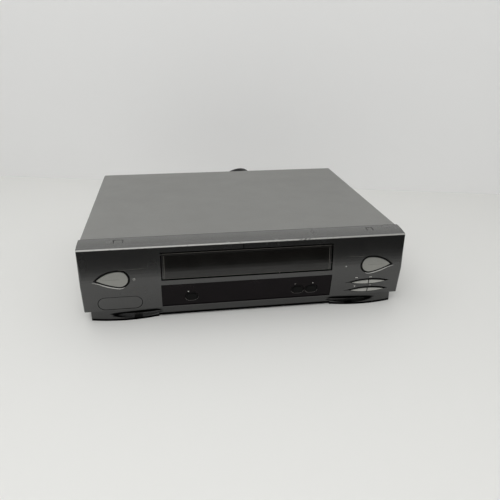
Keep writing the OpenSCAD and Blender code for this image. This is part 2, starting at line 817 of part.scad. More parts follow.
// The boards at the sides lie between the deck and the chassis's flanges
board_x = (chassis_x + deck_w / 2) / 2;
board_w = chassis_x - deck_w / 2 - 8.5;
board_z = 15.5;
supply_front = panel_front - 182;
board_top = board_z + board_t;
module top_cover() {
    x = body_w / 2 - cover_step;
    color("gray") difference() {
        translate([0, y_at(cover_start), 0]) rotate([90, 0, 0]) mirror([0, 0, 1])
            linear_extrude(body_d - cover_start) polygon(concat(
                [[x, cover_bottom]],
                arc([x - cover_bend_r, body_h - cover_bend_r], cover_bend_r, 0, 90, 8),
                arc([cover_bend_r - x, body_h - cover_bend_r], cover_bend_r, 90, 180, 8),
                [[-x, cover_bottom], [cover_t - x, cover_bottom]],
                arc([cover_bend_r - x, body_h - cover_bend_r], cover_bend_r - cover_t, 180, 90, 8),
                arc([x - cover_bend_r, body_h - cover_bend_r], cover_bend_r - cover_t, 90, 0, 8),
                [[x - cover_t, cover_bottom]]
            ));
        for (depth = screw_depths)
            translate([0, y_at(depth), screw_z]) rotate([0, 90, 0])
                cylinder(d = screw_d + 1, h = body_w, center = true);
    }
}
module chassis_tray() {
    color("silver") difference() {
        union() {
            block(2 * chassis_x, chassis_front, panel_front, foot_h, floor_top);
            for (side = [-1, 1])
                block(sheet, chassis_front + 4, panel_front, foot_h, flange_top,
                    side * (chassis_x - sheet / 2));
        }
        for (depth = screw_depths)
            translate([0, y_at(depth), screw_z]) rotate([0, 90, 0])
                cylinder(d = screw_d + 0.3, h = body_w, center = true);
        // cooling slots under the power board
        for (i = [-4.5 : 4.5])
            block(4, panel_front - 122, panel_front - 62, foot_h - 1, floor_top + 1,
                board_x + 0.085 * board_w * i);
    }
}
// Spacers that the deck and the two boards are screwed down on
module board_spacers() {
    edge = board_w / 2 - 5;
    color("gold") {
        for (side = [-1, 1], depth = [deck_front + 8, deck_rear - 8])
            post(8, floor_top, deck_z - deck_t, side * (deck_w / 2 - 8), depth);
        for (side = [-1, 1], u = [-1, 1], depth = [supply_front + 10, panel_front - 12])
            post(6, floor_top, board_z, side * board_x + u * edge, depth);
        for (u = [-1, 1]) post(6, floor_top, board_z, -board_x + u * edge, 44);
    }
}
module rear_feet() {
    color([0.1, 0.1, 0.1]) for (side = [-1, 1])
        translate([side * foot_x, y_at(foot_depth), 0]) {
            cylinder(d1 = foot_d - 3, d2 = foot_d, h = 2);
            translate([0, 0, 2 - hair]) cylinder(d = foot_d, h = foot_h - 2 + hair);
        }
}
module cover_screws() {
    head_t = cover_step - 0.1;
    color("silver") for (side = [-1, 1], depth = screw_depths)
        translate([side * (inside_x + cover_t), y_at(depth), screw_z]) rotate([0, side * 90, 0]) {
            difference() {
                cylinder(d = screw_head_d, h = head_t);
                // cross recess
                translate([-2.5, -0.5, 0.4]) cube([5, 1, 2]);
                translate([-0.5, -2.5, 0.4]) cube([1, 5, 2]);
            }
            translate([0, 0, -6]) cylinder(d = screw_d, h = 6 + hair);
        }
}
scart_x = -45;
scart_z = 40;
aerial_z = 34;
lead_x = 48;
lead_z = body_h - 9;
collar_d = 12;
module scart_outline(grow = 0) {
    w = scart_w / 2 + grow;
    h = scart_h / 2 + grow;
    polygon([[-w, -h], [w - 4, -h], [w, -h + 5], [w, h], [-w, h]]);
}
module rear_panel() {
    color([0.13, 0.13, 0.13]) difference() {
        block(2 * (inside_x - 0.3), panel_front, panel_rear, foot_h, body_h - cover_t - 0.3);
        for (u = [-0.5, 0.5])
            along_y(panel_front - 1, panel_rear + 1) translate([scart_x + u * scart_pitch, scart_z])
                scart_outline(0.3);
        for (u = [-0.5, 0.5])
            along_y(panel_front - 1, panel_rear + 1)
                translate([-aerial_x + u * aerial_pitch, aerial_z]) circle(d = aerial_d + 0.6);
        along_y(panel_front - 1, panel_rear + 1) translate([lead_x, lead_z])
            circle(d = collar_d + 0.4);
        // cooling slots behind the transformer
        for (i = [0 : 11])
            block(2.4, panel_front - 1, panel_rear + 1, 24, 62, 114 + 5.5 * i);
        // shallow step round the sockets
        block(150, panel_rear - 0.6, panel_rear + 1, 22, 56, -90);
    }
}
scart_sink = 5;
module scart_sockets() {
    color([0.08, 0.08, 0.08]) for (u = [-0.5, 0.5])
        translate([scart_x + u * scart_pitch, 0, scart_z]) {
            difference() {
                union() {
                    along_y(panel_front - 14, panel_rear + 2) scart_outline();
                    // flange behind the panel
                    along_y(panel_front - 3, panel_front) scart_outline(2.5);
                }
                along_y(panel_front - 12, panel_rear + 3) scart_outline(-1);
            }
            // tongue with the contacts
            block(scart_w - 10, panel_front - 13, panel_rear + 2 - scart_sink, -2, 2);
        }
}
rf_l = 48;
rf_w = 46;
rf_h = 30;
module rf_unit() {
    color("silver") {
        difference() {
            block(rf_w, panel_front - rf_l, panel_front, board_top, board_top + rf_h, -aerial_x);
            // tuning holes in the lid
            for (i = [0 : 3])
                post(3, board_top + rf_h - 2, board_top + rf_h + 1, -aerial_x - 12 + 8 * i,
                    panel_front - rf_l / 2);
        }
        for (u = [-0.5, 0.5])
            along_y(panel_rear, panel_rear + aerial_l)
                translate([-aerial_x + u * aerial_pitch, aerial_z]) difference() {
                    circle(d = aerial_d);
                    circle(d = aerial_d - 2.5);
                }
        // floor and pin in each barrel; the floor's block passes through the panel
        for (u = [-0.5, 0.5])
            translate([-aerial_x + u * aerial_pitch, 0, aerial_z]) {
                along_y(panel_front - hair, panel_rear + 1) circle(d = aerial_d - 0.8);
                along_y(panel_rear - hair, panel_rear + aerial_l - 2) circle(d = 2.4);
            }
    }
}

// ---- mains lead ----

relief_end = panel_rear + relief_l;
relief_end_d = cord_d + 2;
module cord_gland() {
    flange = 3;
    color([0.07, 0.07, 0.07]) translate([lead_x, y_at(panel_rear), lead_z]) rotate([-90, 0, 0])
        difference() {
            union() {
                translate([0, 0, -panel_t - 2]) cylinder(d = collar_d, h = panel_t + 2 + hair);
                cylinder(d = collar_d + 3, h = flange);
                cylinder(d1 = collar_d, d2 = relief_end_d, h = relief_l);
            }
            // ribs that let the taper bend
            for (i = [0 : 4])
                translate([0, 0, flange + 2 + i * 4.4]) difference() {
                    cylinder(d = 30, h = 1.6);
                    translate([0, 0, -1]) cylinder(d = cord_d + 0.6, h = 4);
                }
        }
}
coil_low = cord_d / 2 + 0.1;
coil_pitch = cord_d + 0.5;
// The lead's way down, seen from the relief's end; the last number is its share of the fall
lead_way = [
    [0, 0, 1], [0, 7, 1], [-1, 14, 1], [-3.5, 21, 0.9975], [-7.5, 27, 0.9877],
    [-13, 32, 0.9656], [-19.5, 36.5, 0.93], [-26, 41, 0.8771], [-31.5, 46, 0.8071],
    [-36, 51.5, 0.72], [-40, 57.5, 0.61], [-43.5, 63.5, 0.49], [-47, 69.5, 0.365],
    [-51, 75.5, 0.25], [-56, 81.3, 0.15], [-62.5, 86.3, 0.075], [-70, 89.8, 0.025],
    [-78, 91, 0.004], [-86, 91, 0], [-94, 91, 0]
];
lead_route = [for (p = lead_way) [p[0], p[1], coil_low + p[2] * (lead_z - coil_low)]];
lead_end = lead_way[len(lead_way) - 1];
coil_outer = 50.5;
// The coil starts with a straight stretch, a diameter long
coil_centre = [lead_end[0] - cord_d, lead_end[1] - coil_outer];
coil_turns = 3;
coil_steps = 24;
// Height above the lowest layer: up one pitch in the half turn where the spiral reverses
function coil_climb(t) = coil_pitch * (t < coil_turns - 0.25 ? 0
    : t > coil_turns + 0.25 ? 1 : 0.5 - 0.5 * cos(360 * (t - coil_turns + 0.25)));
function coil_point(t) =
    let (r = coil_outer - coil_pitch * min(t, 2 * coil_turns - t))
    concat(on_circle(coil_centre, r, 90 + 360 * t), [coil_low + coil_climb(t)]);
coil_points = [for (i = [0 : 2 * coil_turns * coil_steps]) coil_point(i / coil_steps)];
plug_run = 33;
plug_at = [coil_centre[0] - plug_run, coil_centre[1] + coil_outer];
coil_tail = [for (i = [1 : 3])
    [coil_centre[0] - plug_run * i / 3, plug_at[1], coil_low + coil_pitch]];
// Puts what is drawn from the relief's end into its place behind the case
module behind_relief() {
    translate([lead_x, y_at(relief_end), 0]) children();
}
module mains_cord() {
    color([0.06, 0.06, 0.06]) behind_relief() tube_along(lead_route, cord_d / 2, 8);
}
module cord_coil() {
    color([0.06, 0.06, 0.06]) behind_relief()
        tube_along(concat([[lead_end[0], lead_end[1], coil_low]], coil_points, coil_tail),
            cord_d / 2, 6);
}
plug_pin_y = 11.1;
plug_pin_run = 22.2;
plug_pin_in = 15;
module mains_plug() {
    h = plug_w / 2;
    color([0.07, 0.07, 0.07]) behind_relief() translate([plug_at[0], plug_at[1], 0]) {
        // square shoulders at the pins' end, drawn in towards the lead
        linear_extrude(plug_t) polygon(concat(
            [[-8, -7], [-8, 7], [-14, h - 6]],
            arc([-20, h - 6], 6, 60, 90, 4),
            arc([8 - plug_l, h - 8], 8, 90, 180, 6),
            arc([8 - plug_l, 8 - h], 8, 180, 270, 6),
            arc([-20, 6 - h], 6, 270, 300, 4),
            [[-14, 6 - h]]
        ));
        // sleeve round the lead
        translate([0, 0, coil_low + coil_pitch]) rotate([0, -90, 0])
            cylinder(d1 = relief_end_d, d2 = collar_d, h = 9);
    }
}
module plug_pins() {
    color("gold") behind_relief() translate([plug_at[0] - plug_pin_in, plug_at[1], plug_t]) {
        for (side = [-1, 1])
            translate([-2, side * plug_pin_y - 3.2, 0]) cube([4, 6.4, 17.7]);
        translate([-plug_pin_run - 4, -2, 0]) cube([8, 4, 22.7]);
    }
}

// ---- boards and power supply ----

module main_board() {
    color("darkgreen") {
        block(board_w, 36, panel_front - 2, board_z, board_top, -board_x);
        // two packaged circuits and a row of connectors
        block(24, 90, 104, board_top - hair, board_top + 3, -board_x);
        block(30, 130, 144, board_top - hair, board_top + 3, -board_x);
        for (i = [0 : 4])
            block(8, 186, 192, board_top - hair, board_top + 8,
                -board_x + 0.17 * board_w * (i - 2));
    }
}
module power_board() {
    color("peru") block(board_w, supply_front, panel_front - 2, board_z, board_top, board_x);
}
module transformer() {
    depth = panel_front - 40;
    color("slategray") {
        block(40, depth - 17, depth + 17, board_top, board_top + 38, board_x);
        block(54, depth - 8, depth + 8, board_top + 5, board_top + 33, board_x);
    }
}
module heat_sink() {
    front = panel_front - 126;
    x = board_x - board_w / 2 + 5;
    fin_pitch = 7.5;
    color("silver") {
        block(3, front, front + 50, board_top, board_top + 34, x);
        for (i = [0 : 6])
            block(10, front + 1 + fin_pitch * i, front + 3 + fin_pitch * i, board_top,
                board_top + 34, x + 6);
    }
}
module smoothing_capacitors() {
    // diameter, height, place across the board and distance from the rear panel
    color("midnightblue") for (c = [[18, 32, 0.09, 110], [14, 25, 0.34, 97], [12, 22, 0.11, 86]])
        post(c[0], board_top, board_top + c[1], board_x + c[2] * board_w, panel_front - c[3]);
}

// ---- deck ----

spindle_d = 5;
bush_d = 9;
capstan_bush_d = 13;
clutch_shaft_d = 4;
stub_d = 6;
pivot_d = 4;
guide_pin = 3;
guide_foot_d = 6;
motor_shaft_d = 3;
pinion_depth = cam_depth + gear_module * (cam_teeth + pinion_teeth) / 2 + 0.1;
gear_z = deck_z + 2;
// A slot along a tape guide's run, upwards from a height
module guide_slot(side, width, bottom) {
    a = [side * guide_x, y_at(guide_depth)];
    run = [side * guide_run_x, guide_run_y];
    l = norm(run);
    translate([a[0], a[1], bottom]) rotate([0, 0, atan2(run[1], run[0])]) {
        translate([0, -width / 2, 0]) cube([l, width, 4]);
        for (at = [0, l]) translate([at, 0, 0]) cylinder(d = width, h = 4);
    }
}
module deck_plate() {
    under = deck_z - deck_t;
    color("lightsteelblue") difference() {
        union() {
            block(deck_w, deck_front, deck_rear, under, deck_z);
            for (side = [-1, 1])
                post(spindle_d, under, deck_z + 15, side * reel_pitch / 2, reel_depth);
            post(bush_d, under - 4, deck_z + 1.5, 0, clutch_depth);
            post(capstan_bush_d, under - 4, deck_z + 12, capstan_x, capstan_depth);
            post(stub_d, under, gear_z + gear_t + 1, -cam_x, cam_depth);
            post(pivot_d + 1, under, deck_z + 14, pinch_pivot_x, pinch_pivot_depth);
            post(pivot_d, under, deck_z + 6, -tension_x, tension_depth);
        }
        post(clutch_shaft_d + 2 * run_fit, 0, body_h, 0, clutch_depth);
        post(capstan_d + 2 * run_fit, 0, body_h, capstan_x, capstan_depth);
        post(motor_shaft_d + 2, 0, body_h, -cam_x, pinion_depth);
        for (side = [-1, 1]) guide_slot(side, guide_pin + 2 * clear, deck_z - deck_t - 1);
        // weight-saving window under the cassette
        block(40, 52, 84, under - 1, deck_z + 1);
    }
}
module reel_table(side) {
    rim_z = deck_z + 4;
    translate([side * reel_pitch / 2, y_at(reel_depth), 0]) difference() {
        union() {
            translate([0, 0, deck_z + clear]) cylinder(d = hub_d, h = 8);
            translate([0, 0, rim_z]) cylinder(d = reel_rim_d, h = 4);
            translate([0, 0, rim_z + 4 - hair]) cylinder(d = hub_d, h = hub_h - 3 + 2 * hair);
            translate([0, 0, rim_z + 1 + hub_h]) cylinder(d1 = hub_d, d2 = hub_d - 6, h = 4);
            // splines that turn the reel
            for (i = [0 : 2])
                rotate([0, 0, 120 * i]) translate([0, -1, rim_z + 3])
                    cube([hub_d / 2 + 2, 2, hub_h - 3]);
        }
        translate([0, 0, deck_z]) cylinder(d = spindle_d + 2 * run_fit, h = 40);
        // ring of lightening holes
        for (i = [0 : 5])
            rotate([0, 0, 60 * i + 30]) translate([reel_rim_d / 2 - 8, 0, deck_z])
                cylinder(d = 6, h = 10);
    }
}
module supply_reel_table() color("dimgray") reel_table(-1);
module takeup_reel_table() color("dimgray") reel_table(1);
module drum_frame() {
    translate([0, y_at(drum_depth), deck_z + 5]) rotate([drum_tilt, 0, 0]) children();
}
module lower_drum() {
    color("silver") difference() {
        union() {
            drum_frame() cylinder(d = drum_d, h = lower_drum_h);
            block(38, drum_depth - 19, drum_depth + 19, deck_z, deck_z + 9);
        }
        drum_frame() translate([0, 0, 1.5]) cylinder(d = drum_axle_d + 2 * run_fit, h = 60);
        // ledge that the tape's lower edge runs on
        drum_frame() translate([0, 0, 4]) difference() {
            cylinder(d = drum_d + 2, h = lower_drum_h);
            translate([0, 0, -1]) cylinder(d = drum_d - 0.8, h = lower_drum_h + 2);
        }
    }
}
module upper_drum() {
    color("gainsboro") drum_frame() difference() {
        union() {
            translate([0, 0, lower_drum_h + clear]) cylinder(d = drum_d - 0.8, h = upper_drum_h);
            translate([0, 0, 2]) cylinder(d = drum_axle_d, h = lower_drum_h);
            // motor rotor on top
            translate([0, 0, lower_drum_h + clear + upper_drum_h - hair]) cylinder(d = 40, h = 4);
        }
        // windows of the video heads
        for (a = [0, 90, 180, 270])
            rotate([0, 0, a]) translate([drum_d / 2 - 3, -2, lower_drum_h - 1]) cube([5, 4, 4]);
        for (i = [0 : 3])
            rotate([0, 0, 90 * i + 45]) translate([13, 0, 25]) cylinder(d = 5, h = 40);
    }
}

// ---- capstan drive ----

under_deck = deck_z - deck_t;
coil_t = 3;
stator_z = under_deck - board_t;
flywheel_top = stator_z - coil_t - 0.5;
pulley_z = flywheel_top - flywheel_t - pulley_t;
module capstan_stator() {
    color("darkgreen") difference() {
        translate([capstan_x, y_at(capstan_depth), 0]) difference() {
            union() {
                translate([0, 0, stator_z]) cylinder(d = flywheel_d + 2, h = board_t);
                for (i = [0 : 5])
                    rotate([0, 0, 60 * i]) translate([flywheel_d / 3, 0, stator_z - coil_t])
                        cylinder(d = flywheel_d / 4, h = coil_t + hair);
            }
            cylinder(d = capstan_bush_d + 1, h = body_h);
            for (i = [0 : 5])
                rotate([0, 0, 60 * i]) translate([flywheel_d / 3, 0, 0])
                    cylinder(d = 5, h = stator_z - 1);
        }
        // the board ends beside the way of the tape guide's foot
        guide_slot(1, guide_foot_d + 2 * clear, stator_z - 2 * clear);
    }
}
// A flanged belt pulley standing on z = 0
module pulley(d) {
    lip = (pulley_t - belt_t) / 2 - 0.1;
    cylinder(d = d + 3, h = lip);
    cylinder(d = d - belt_t, h = pulley_t);
    translate([0, 0, pulley_t - lip]) cylinder(d = d + 3, h = lip);
}
module capstan_flywheel() {
    color("silver") translate([capstan_x, y_at(capstan_depth), 0]) {
        translate([0, 0, flywheel_top - flywheel_t]) cylinder(d = flywheel_d, h = flywheel_t);
        translate([0, 0, pulley_z]) pulley(capstan_pulley_d);
        translate([0, 0, pulley_z]) cylinder(d = capstan_d, h = capstan_top - pulley_z);
    }
}
// The outline of a belt round two pulleys
module belt_outline(c1, r1, c2, r2) {
    a = atan2(c2[1] - c1[1], c2[0] - c1[0]);
    b = acos((r1 - r2) / norm(c2 - c1));
    polygon(concat(arc(c1, r1, a + b, a + 360 - b, 40), arc(c2, r2, a - b, a + b, 40)));
}
module drive_belt() {
    c1 = [capstan_x, y_at(capstan_depth)];
    c2 = [0, y_at(clutch_depth)];
    r1 = (capstan_pulley_d - belt_t) / 2 + 0.3;
    r2 = (clutch_pulley_d - belt_t) / 2 + 0.3;
    color([0.05, 0.05, 0.05]) translate([0, 0, pulley_z + (pulley_t - belt_t) / 2 + 0.2])
        linear_extrude(belt_t - 0.4) difference() {
            belt_outline(c1, r1 + belt_t, c2, r2 + belt_t);
            belt_outline(c1, r1, c2, r2);
        }
}
drive_z = deck_z + 4;
drive_t = 4;
module clutch_pulley() {
    color("dimgray") translate([0, y_at(clutch_depth), 0]) {
        translate([0, 0, pulley_z]) pulley(clutch_pulley_d);
        translate([0, 0, pulley_z]) cylinder(d = clutch_shaft_d, h = deck_z + 12 - pulley_z);
        translate([0, 0, drive_z - 2]) cylinder(d = clutch_roller_d - 3, h = 2 + hair);
        translate([0, 0, drive_z]) cylinder(d = clutch_roller_d, h = drive_t);
    }
}
idler_reach = (clutch_roller_d + idler_d) / 2 + 0.3;
idler_pin_d = 3;
module idler_arm() {
    z = drive_z + drive_t + clear;
    color("silver") translate([0, y_at(clutch_depth), z]) difference() {
        union() {
            cylinder(d = clutch_shaft_d + 5, h = 1.6);
            translate([0, idler_reach, 0]) cylinder(d = idler_pin_d + 3, h = 1.6);
            translate([-2, 0, 0]) cube([4, idler_reach, 1.6]);
            translate([0, idler_reach, -drive_t - 1]) cylinder(d = idler_pin_d, h = drive_t + 2);
        }
        translate([0, 0, -1]) cylinder(d = clutch_shaft_d + 2 * run_fit, h = 4);
    }
}
module idler_wheel() {
    color([0.1, 0.1, 0.1]) translate([0, y_at(clutch_depth) + idler_reach, drive_z]) difference() {
        cylinder(d = idler_d, h = drive_t);
        translate([0, 0, -1]) cylinder(d = idler_pin_d + 2 * run_fit, h = drive_t + 2);
        // dish beside the tyre
        translate([0, 0, drive_t - 1]) difference() {
            cylinder(d = idler_d - 4, h = 2);
            translate([0, 0, -1]) cylinder(d = idler_pin_d + 4, h = 4);
        }
    }
}

// ---- tape loading ----

pressure_a = 20;
backlash = 0.3;
// Half the angle that a tooth takes up at a radius
function involute(a) = tan(a) * 180 / PI - a;
function tooth_half(teeth, r) =
    let (rp = gear_module * teeth / 2, rb = rp * cos(pressure_a))
    90 / teeth - backlash / 2 / rp * 180 / PI / 2 + involute(pressure_a)
        - involute(r > rb ? acos(rb / r) : 0);
module gear_outline(teeth) {
    rp = gear_module * teeth / 2;
    root = rp - 1.15 * gear_module;
    tip = rp + 0.8 * gear_module;
    radii = [root, rp - 0.4 * gear_module, rp, rp + 0.4 * gear_module, tip];
    polygon([for (i = [0 : teeth - 1], k = [0 : 9])
        let (r = k < 5 ? radii[k] : radii[9 - k], side = k < 5 ? -1 : 1)
        on_circle([0, 0], r, 360 * i / teeth + side * tooth_half(teeth, r))]);
}
module loading_motor() {
    color("silver") translate([-cam_x, y_at(pinion_depth), 0]) difference() {
        translate([0, 0, under_deck - 14]) cylinder(d = motor_d, h = 14);
        translate([0, 0, under_deck - 6]) cylinder(d = motor_shaft_d + 2 * run_fit, h = 10);
    }
}
module loading_pinion() {
    color("ivory") translate([-cam_x, y_at(pinion_depth), 0]) {
        translate([0, 0, under_deck - 5.5]) cylinder(d = motor_shaft_d, h = 14);
        // a tooth gap faces the cam gear
        translate([0, 0, gear_z]) rotate([0, 0, -90 + 180 / pinion_teeth])
            linear_extrude(gear_t) gear_outline(pinion_teeth);
    }
}
module cam_gear() {
    color("ivory") translate([-cam_x, y_at(cam_depth), 0]) difference() {
        union() {
            translate([0, 0, gear_z]) rotate([0, 0, 90]) linear_extrude(gear_t)
                gear_outline(cam_teeth);
            translate([0, 0, deck_z + clear]) cylinder(d = stub_d + 5, h = 2);
        }
        translate([0, 0, deck_z]) cylinder(d = stub_d + 2 * run_fit, h = 20);
        // the cam track in its face
        translate([3, 0, gear_z + gear_t - 2]) difference() {
            cylinder(d = 27, h = 3);
            translate([0, 0, -1]) cylinder(d = 21, h = 5);
        }
    }
}
// A tape guide at rest: a foot on the deck, a pin in its slot, and a flanged roller
module tape_guide(side) {
    foot = 4;
    translate([side * guide_x, y_at(guide_depth), deck_z]) {
        translate([0, 0, clear]) cylinder(d = 11, h = foot - clear);
        translate([0, 0, -deck_t - 1.5]) cylinder(d = guide_pin, h = deck_t + 2.5);
        translate([0, 0, -deck_t - 1.5]) cylinder(d = guide_foot_d, h = 1);
        translate([0, 0, foot - hair]) cylinder(d = guide_d + 2, h = 1.2);
        translate([0, 0, foot]) cylinder(d = guide_d, h = guide_h + 2);
        translate([0, 0, foot + guide_h + 1]) cylinder(d = guide_d + 2, h = 1.2);
    }
}
module supply_guide() color("silver") tape_guide(-1);
module takeup_guide() color("silver") tape_guide(1);
module tape_heads() {
    color("gray") for (c = [[-56, 178, 9, 8], [52, 182, 9, 8]]) {
        post(6, deck_z, deck_z + 8, c[0], c[1]);
        block(c[2], c[1] - c[3] / 2, c[1] + c[3] / 2, deck_z + 7, deck_z + 23, c[0]);
        block(c[2] + 2, c[1] - c[3] / 2 + 2, c[1] + c[3] / 2 - 1, deck_z + 10, deck_z + 20, c[0]);
    }
}
module head_amplifier_shield() {
    color("silver") difference() {
        block(44, 192, 236, deck_z, deck_z + 12, 78);
        for (i = [0 : 4], j = [0 : 2])
            post(3, deck_z + 10, deck_z + 13, 64 + 7 * i, 204 + 10 * j);
    }
}
pinch_z = deck_z + 14;
pinch_pin_d = 3;
pinch_gap = 0.3;
pinch_arm_l = 23.9;
pinch_pivot = [pinch_pivot_x, pinch_pivot_depth];
// The roller's place when it stands at the capstan, and at rest, swung away from there
pinch_pressed = meet(pinch_pivot, pinch_arm_l, [capstan_x, capstan_depth],
    (capstan_d + pinch_d) / 2 + pinch_gap);
pinch_a = atan2(pinch_pressed[1] - pinch_pivot[1], pinch_pressed[0] - pinch_pivot[0]);
pinch_at = on_circle(pinch_pivot, pinch_arm_l, pinch_a + pinch_swing);
module pinch_arm() {
    p = [pinch_pivot[0], y_at(pinch_pivot[1])];
    e = [pinch_at[0], y_at(pinch_at[1])];
    top = pinch_z + pinch_h + clear;
    l = norm(e - p);
    color("silver") difference() {
        union() {
            translate([p[0], p[1], deck_z + clear])
                cylinder(d = pivot_d + 6, h = top + 0.8 - deck_z - clear);
            translate([p[0], p[1], top]) cylinder(d = pivot_d + 8, h = 1.6);
            translate([p[0], p[1], top]) rotate([0, 0, atan2(e[1] - p[1], e[0] - p[0])])
                translate([0, -3, 0]) cube([l, 6, 1.6]);
            translate([e[0], e[1], top]) cylinder(d = 8, h = 1.6);
            translate([e[0], e[1], pinch_z + 0.5]) cylinder(d = pinch_pin_d, h = top - pinch_z);
        }
        translate([p[0], p[1], deck_z]) cylinder(d = pivot_d + 1 + 2 * run_fit, h = 14.5);
    }
}
module pinch_roller() {
    color([0.08, 0.08, 0.08]) translate([pinch_at[0], y_at(pinch_at[1]), pinch_z]) difference() {
        cylinder(d = pinch_d, h = pinch_h);
        translate([0, 0, -1]) cylinder(d = pinch_pin_d + 2 * run_fit, h = pinch_h + 2);
    }
}
module tension_arm() {
    color("silver") translate([-tension_x, y_at(tension_depth), 0]) difference() {
        union() {
            translate([0, 0, deck_z + clear]) cylinder(d = pivot_d + 4, h = 4.6);
            rotate([0, 0, -73]) {
                translate([0, -2.5, deck_z + 2.5]) cube([tension_l, 5, 1.5]);
                translate([tension_l, 0, deck_z + 2.5]) cylinder(d = 5, h = 1.5);
                translate([tension_l, 0, deck_z + 3]) cylinder(d = 3, h = 19);
            }
        }
        translate([0, 0, deck_z]) cylinder(d = pivot_d + 2 * run_fit, h = 10);
    }
}

// ---- cassette carriage ----

tray_x = cassette_w / 2;
slider_x = tray_x + sheet_t + slide_gap;
bracket_x = slider_x + sheet_t + bracket_gap;
bridge_z = ledge_z + cassette_h;
tray_pins = [tray_front + 30, tray_front + 62];
tray_pin_z = ledge_z + 12;
slider_pins = [tray_front + 26, tray_front + 66];
slider_pin_z = bridge_z - 4;
pin_slot = guide_pin_d + 2 * clear;
slider_top = bridge_z + sheet_t + 5.5;
bracket_top = slider_top + 1;
module cassette_tray() {
    color("silver") {
        for (side = [-1, 1]) {
            block(ledge_w + sheet_t, tray_front, tray_rear, ledge_z - sheet_t, ledge_z,
                side * (tray_x + (sheet_t - ledge_w) / 2));
            block(sheet_t, tray_front + 14, tray_rear, ledge_z - sheet_t, bridge_z + sheet_t,
                side * (tray_x + sheet_t / 2));
            for (depth = tray_pins)
                translate([side * (tray_x + sheet_t - hair), y_at(depth), tray_pin_z])
                    rotate([0, side * 90, 0])
                        cylinder(d = guide_pin_d, h = slide_gap + sheet_t + 0.4);
        }
        difference() {
            block(cassette_w + 2 * sheet_t, tray_front + 20, tray_rear, bridge_z,
                bridge_z + sheet_t);
            // window in the bridge
            block(cassette_w - 80, tray_front + 32, tray_rear - 14, bridge_z - 1,
                bridge_z + sheet_t + 1);
        }
    }
}
module carriage_slider() {
    bottom = tray_pin_z - tray_down - 6;
    color("gainsboro") {
        for (side = [-1, 1]) {
            difference() {
                block(sheet_t, tray_front + 20, tray_rear + 2, bottom, slider_top,
                    side * (slider_x + sheet_t / 2));
                for (depth = tray_pins) {
                    block(far, depth - pin_slot / 2, depth + pin_slot / 2,
                        tray_pin_z - tray_down, tray_pin_z);
                    for (z = [tray_pin_z - tray_down, tray_pin_z])
                        translate([0, y_at(depth), z]) rotate([0, 90, 0])
                            cylinder(d = pin_slot, h = far, center = true);
                }
            }
            for (depth = slider_pins)
                translate([side * (slider_x + sheet_t - hair), y_at(depth), slider_pin_z])
                    rotate([0, side * 90, 0])
                        cylinder(d = guide_pin_d, h = bracket_gap + sheet_t + 1);
        }
        block(2 * slider_x + 2 * hair, tray_rear - 8, tray_rear, slider_top - 3, slider_top);
    }
}
module carriage_brackets() {
    rear = tray_rear + tray_in + 10;
    front = deck_front + 2;
    foot_w = 6;
    color("silver") {
        for (side = [-1, 1]) {
            difference() {
                block(sheet_t, front, rear, deck_z, bracket_top, side * (bracket_x + sheet_t / 2));
                block(far, slider_pins[0], slider_pins[1] + tray_in,
                    slider_pin_z - pin_slot / 2, slider_pin_z + pin_slot / 2);
                for (depth = [slider_pins[0], slider_pins[1] + tray_in])
                    translate([0, y_at(depth), slider_pin_z]) rotate([0, 90, 0])
                        cylinder(d = pin_slot, h = far, center = true);
                for (i = [0 : 3])
                    translate([0, y_at(front + 20 + 27 * i), deck_z + 22]) rotate([0, 90, 0])
                        cylinder(d = 18, h = far, center = true);
            }
            block(foot_w, front, rear, deck_z, deck_z + sheet_t,
                side * (bracket_x + sheet_t + foot_w / 2 - hair));
        }
        block(2 * (bracket_x + sheet_t), rear - 13, rear, bracket_top - hair,
            bracket_top + sheet_t);
    }
}

top_cover();
front_fascia();
badge_plate();
chassis_tray();
rear_panel();
rear_feet();
cover_screws();
board_spacers();
cassette_flap();
flap_lens();
flap_spring();
display_lens();
display_tube();
control_board();
key_switches();
power_button();
play_button();
rewind_button();
fast_forward_button();
stop_button();
pause_button();
record_button();
channel_down_button();
channel_up_button();
scart_sockets();
rf_unit();
cord_gland();
mains_cord();
cord_coil();
mains_plug();
plug_pins();
main_board();
power_board();
transformer();
heat_sink();
smoothing_capacitors();
head_amplifier_shield();
deck_plate();
lower_drum();
upper_drum();
capstan_stator();
capstan_flywheel();
drive_belt();
clutch_pulley();
idler_arm();
idler_wheel();
supply_reel_table();
takeup_reel_table();
loading_motor();
loading_pinion();
cam_gear();
supply_guide();
takeup_guide();
tape_heads();
pinch_arm();
pinch_roller();
tension_arm();
carriage_brackets();
carriage_slider();
cassette_tray();
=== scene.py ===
# %% [markdown]
# # Dressing a video cassette recorder
# The real object is a front-loading cassette recorder: a folded steel cover, a moulded
# grey fascia, a smoked flap and window, and a tape deck inside. The solids come from a
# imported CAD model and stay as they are. This lesson gives each of them a finish worked
# out from nodes, adds the small things that CAD leaves out, and lights the whole on a
# pale table. Everything is in metres: right is +X, the back is +Y and up is +Z.

import json
import math

import bpy
import numpy as np
from mathutils import Matrix, Vector


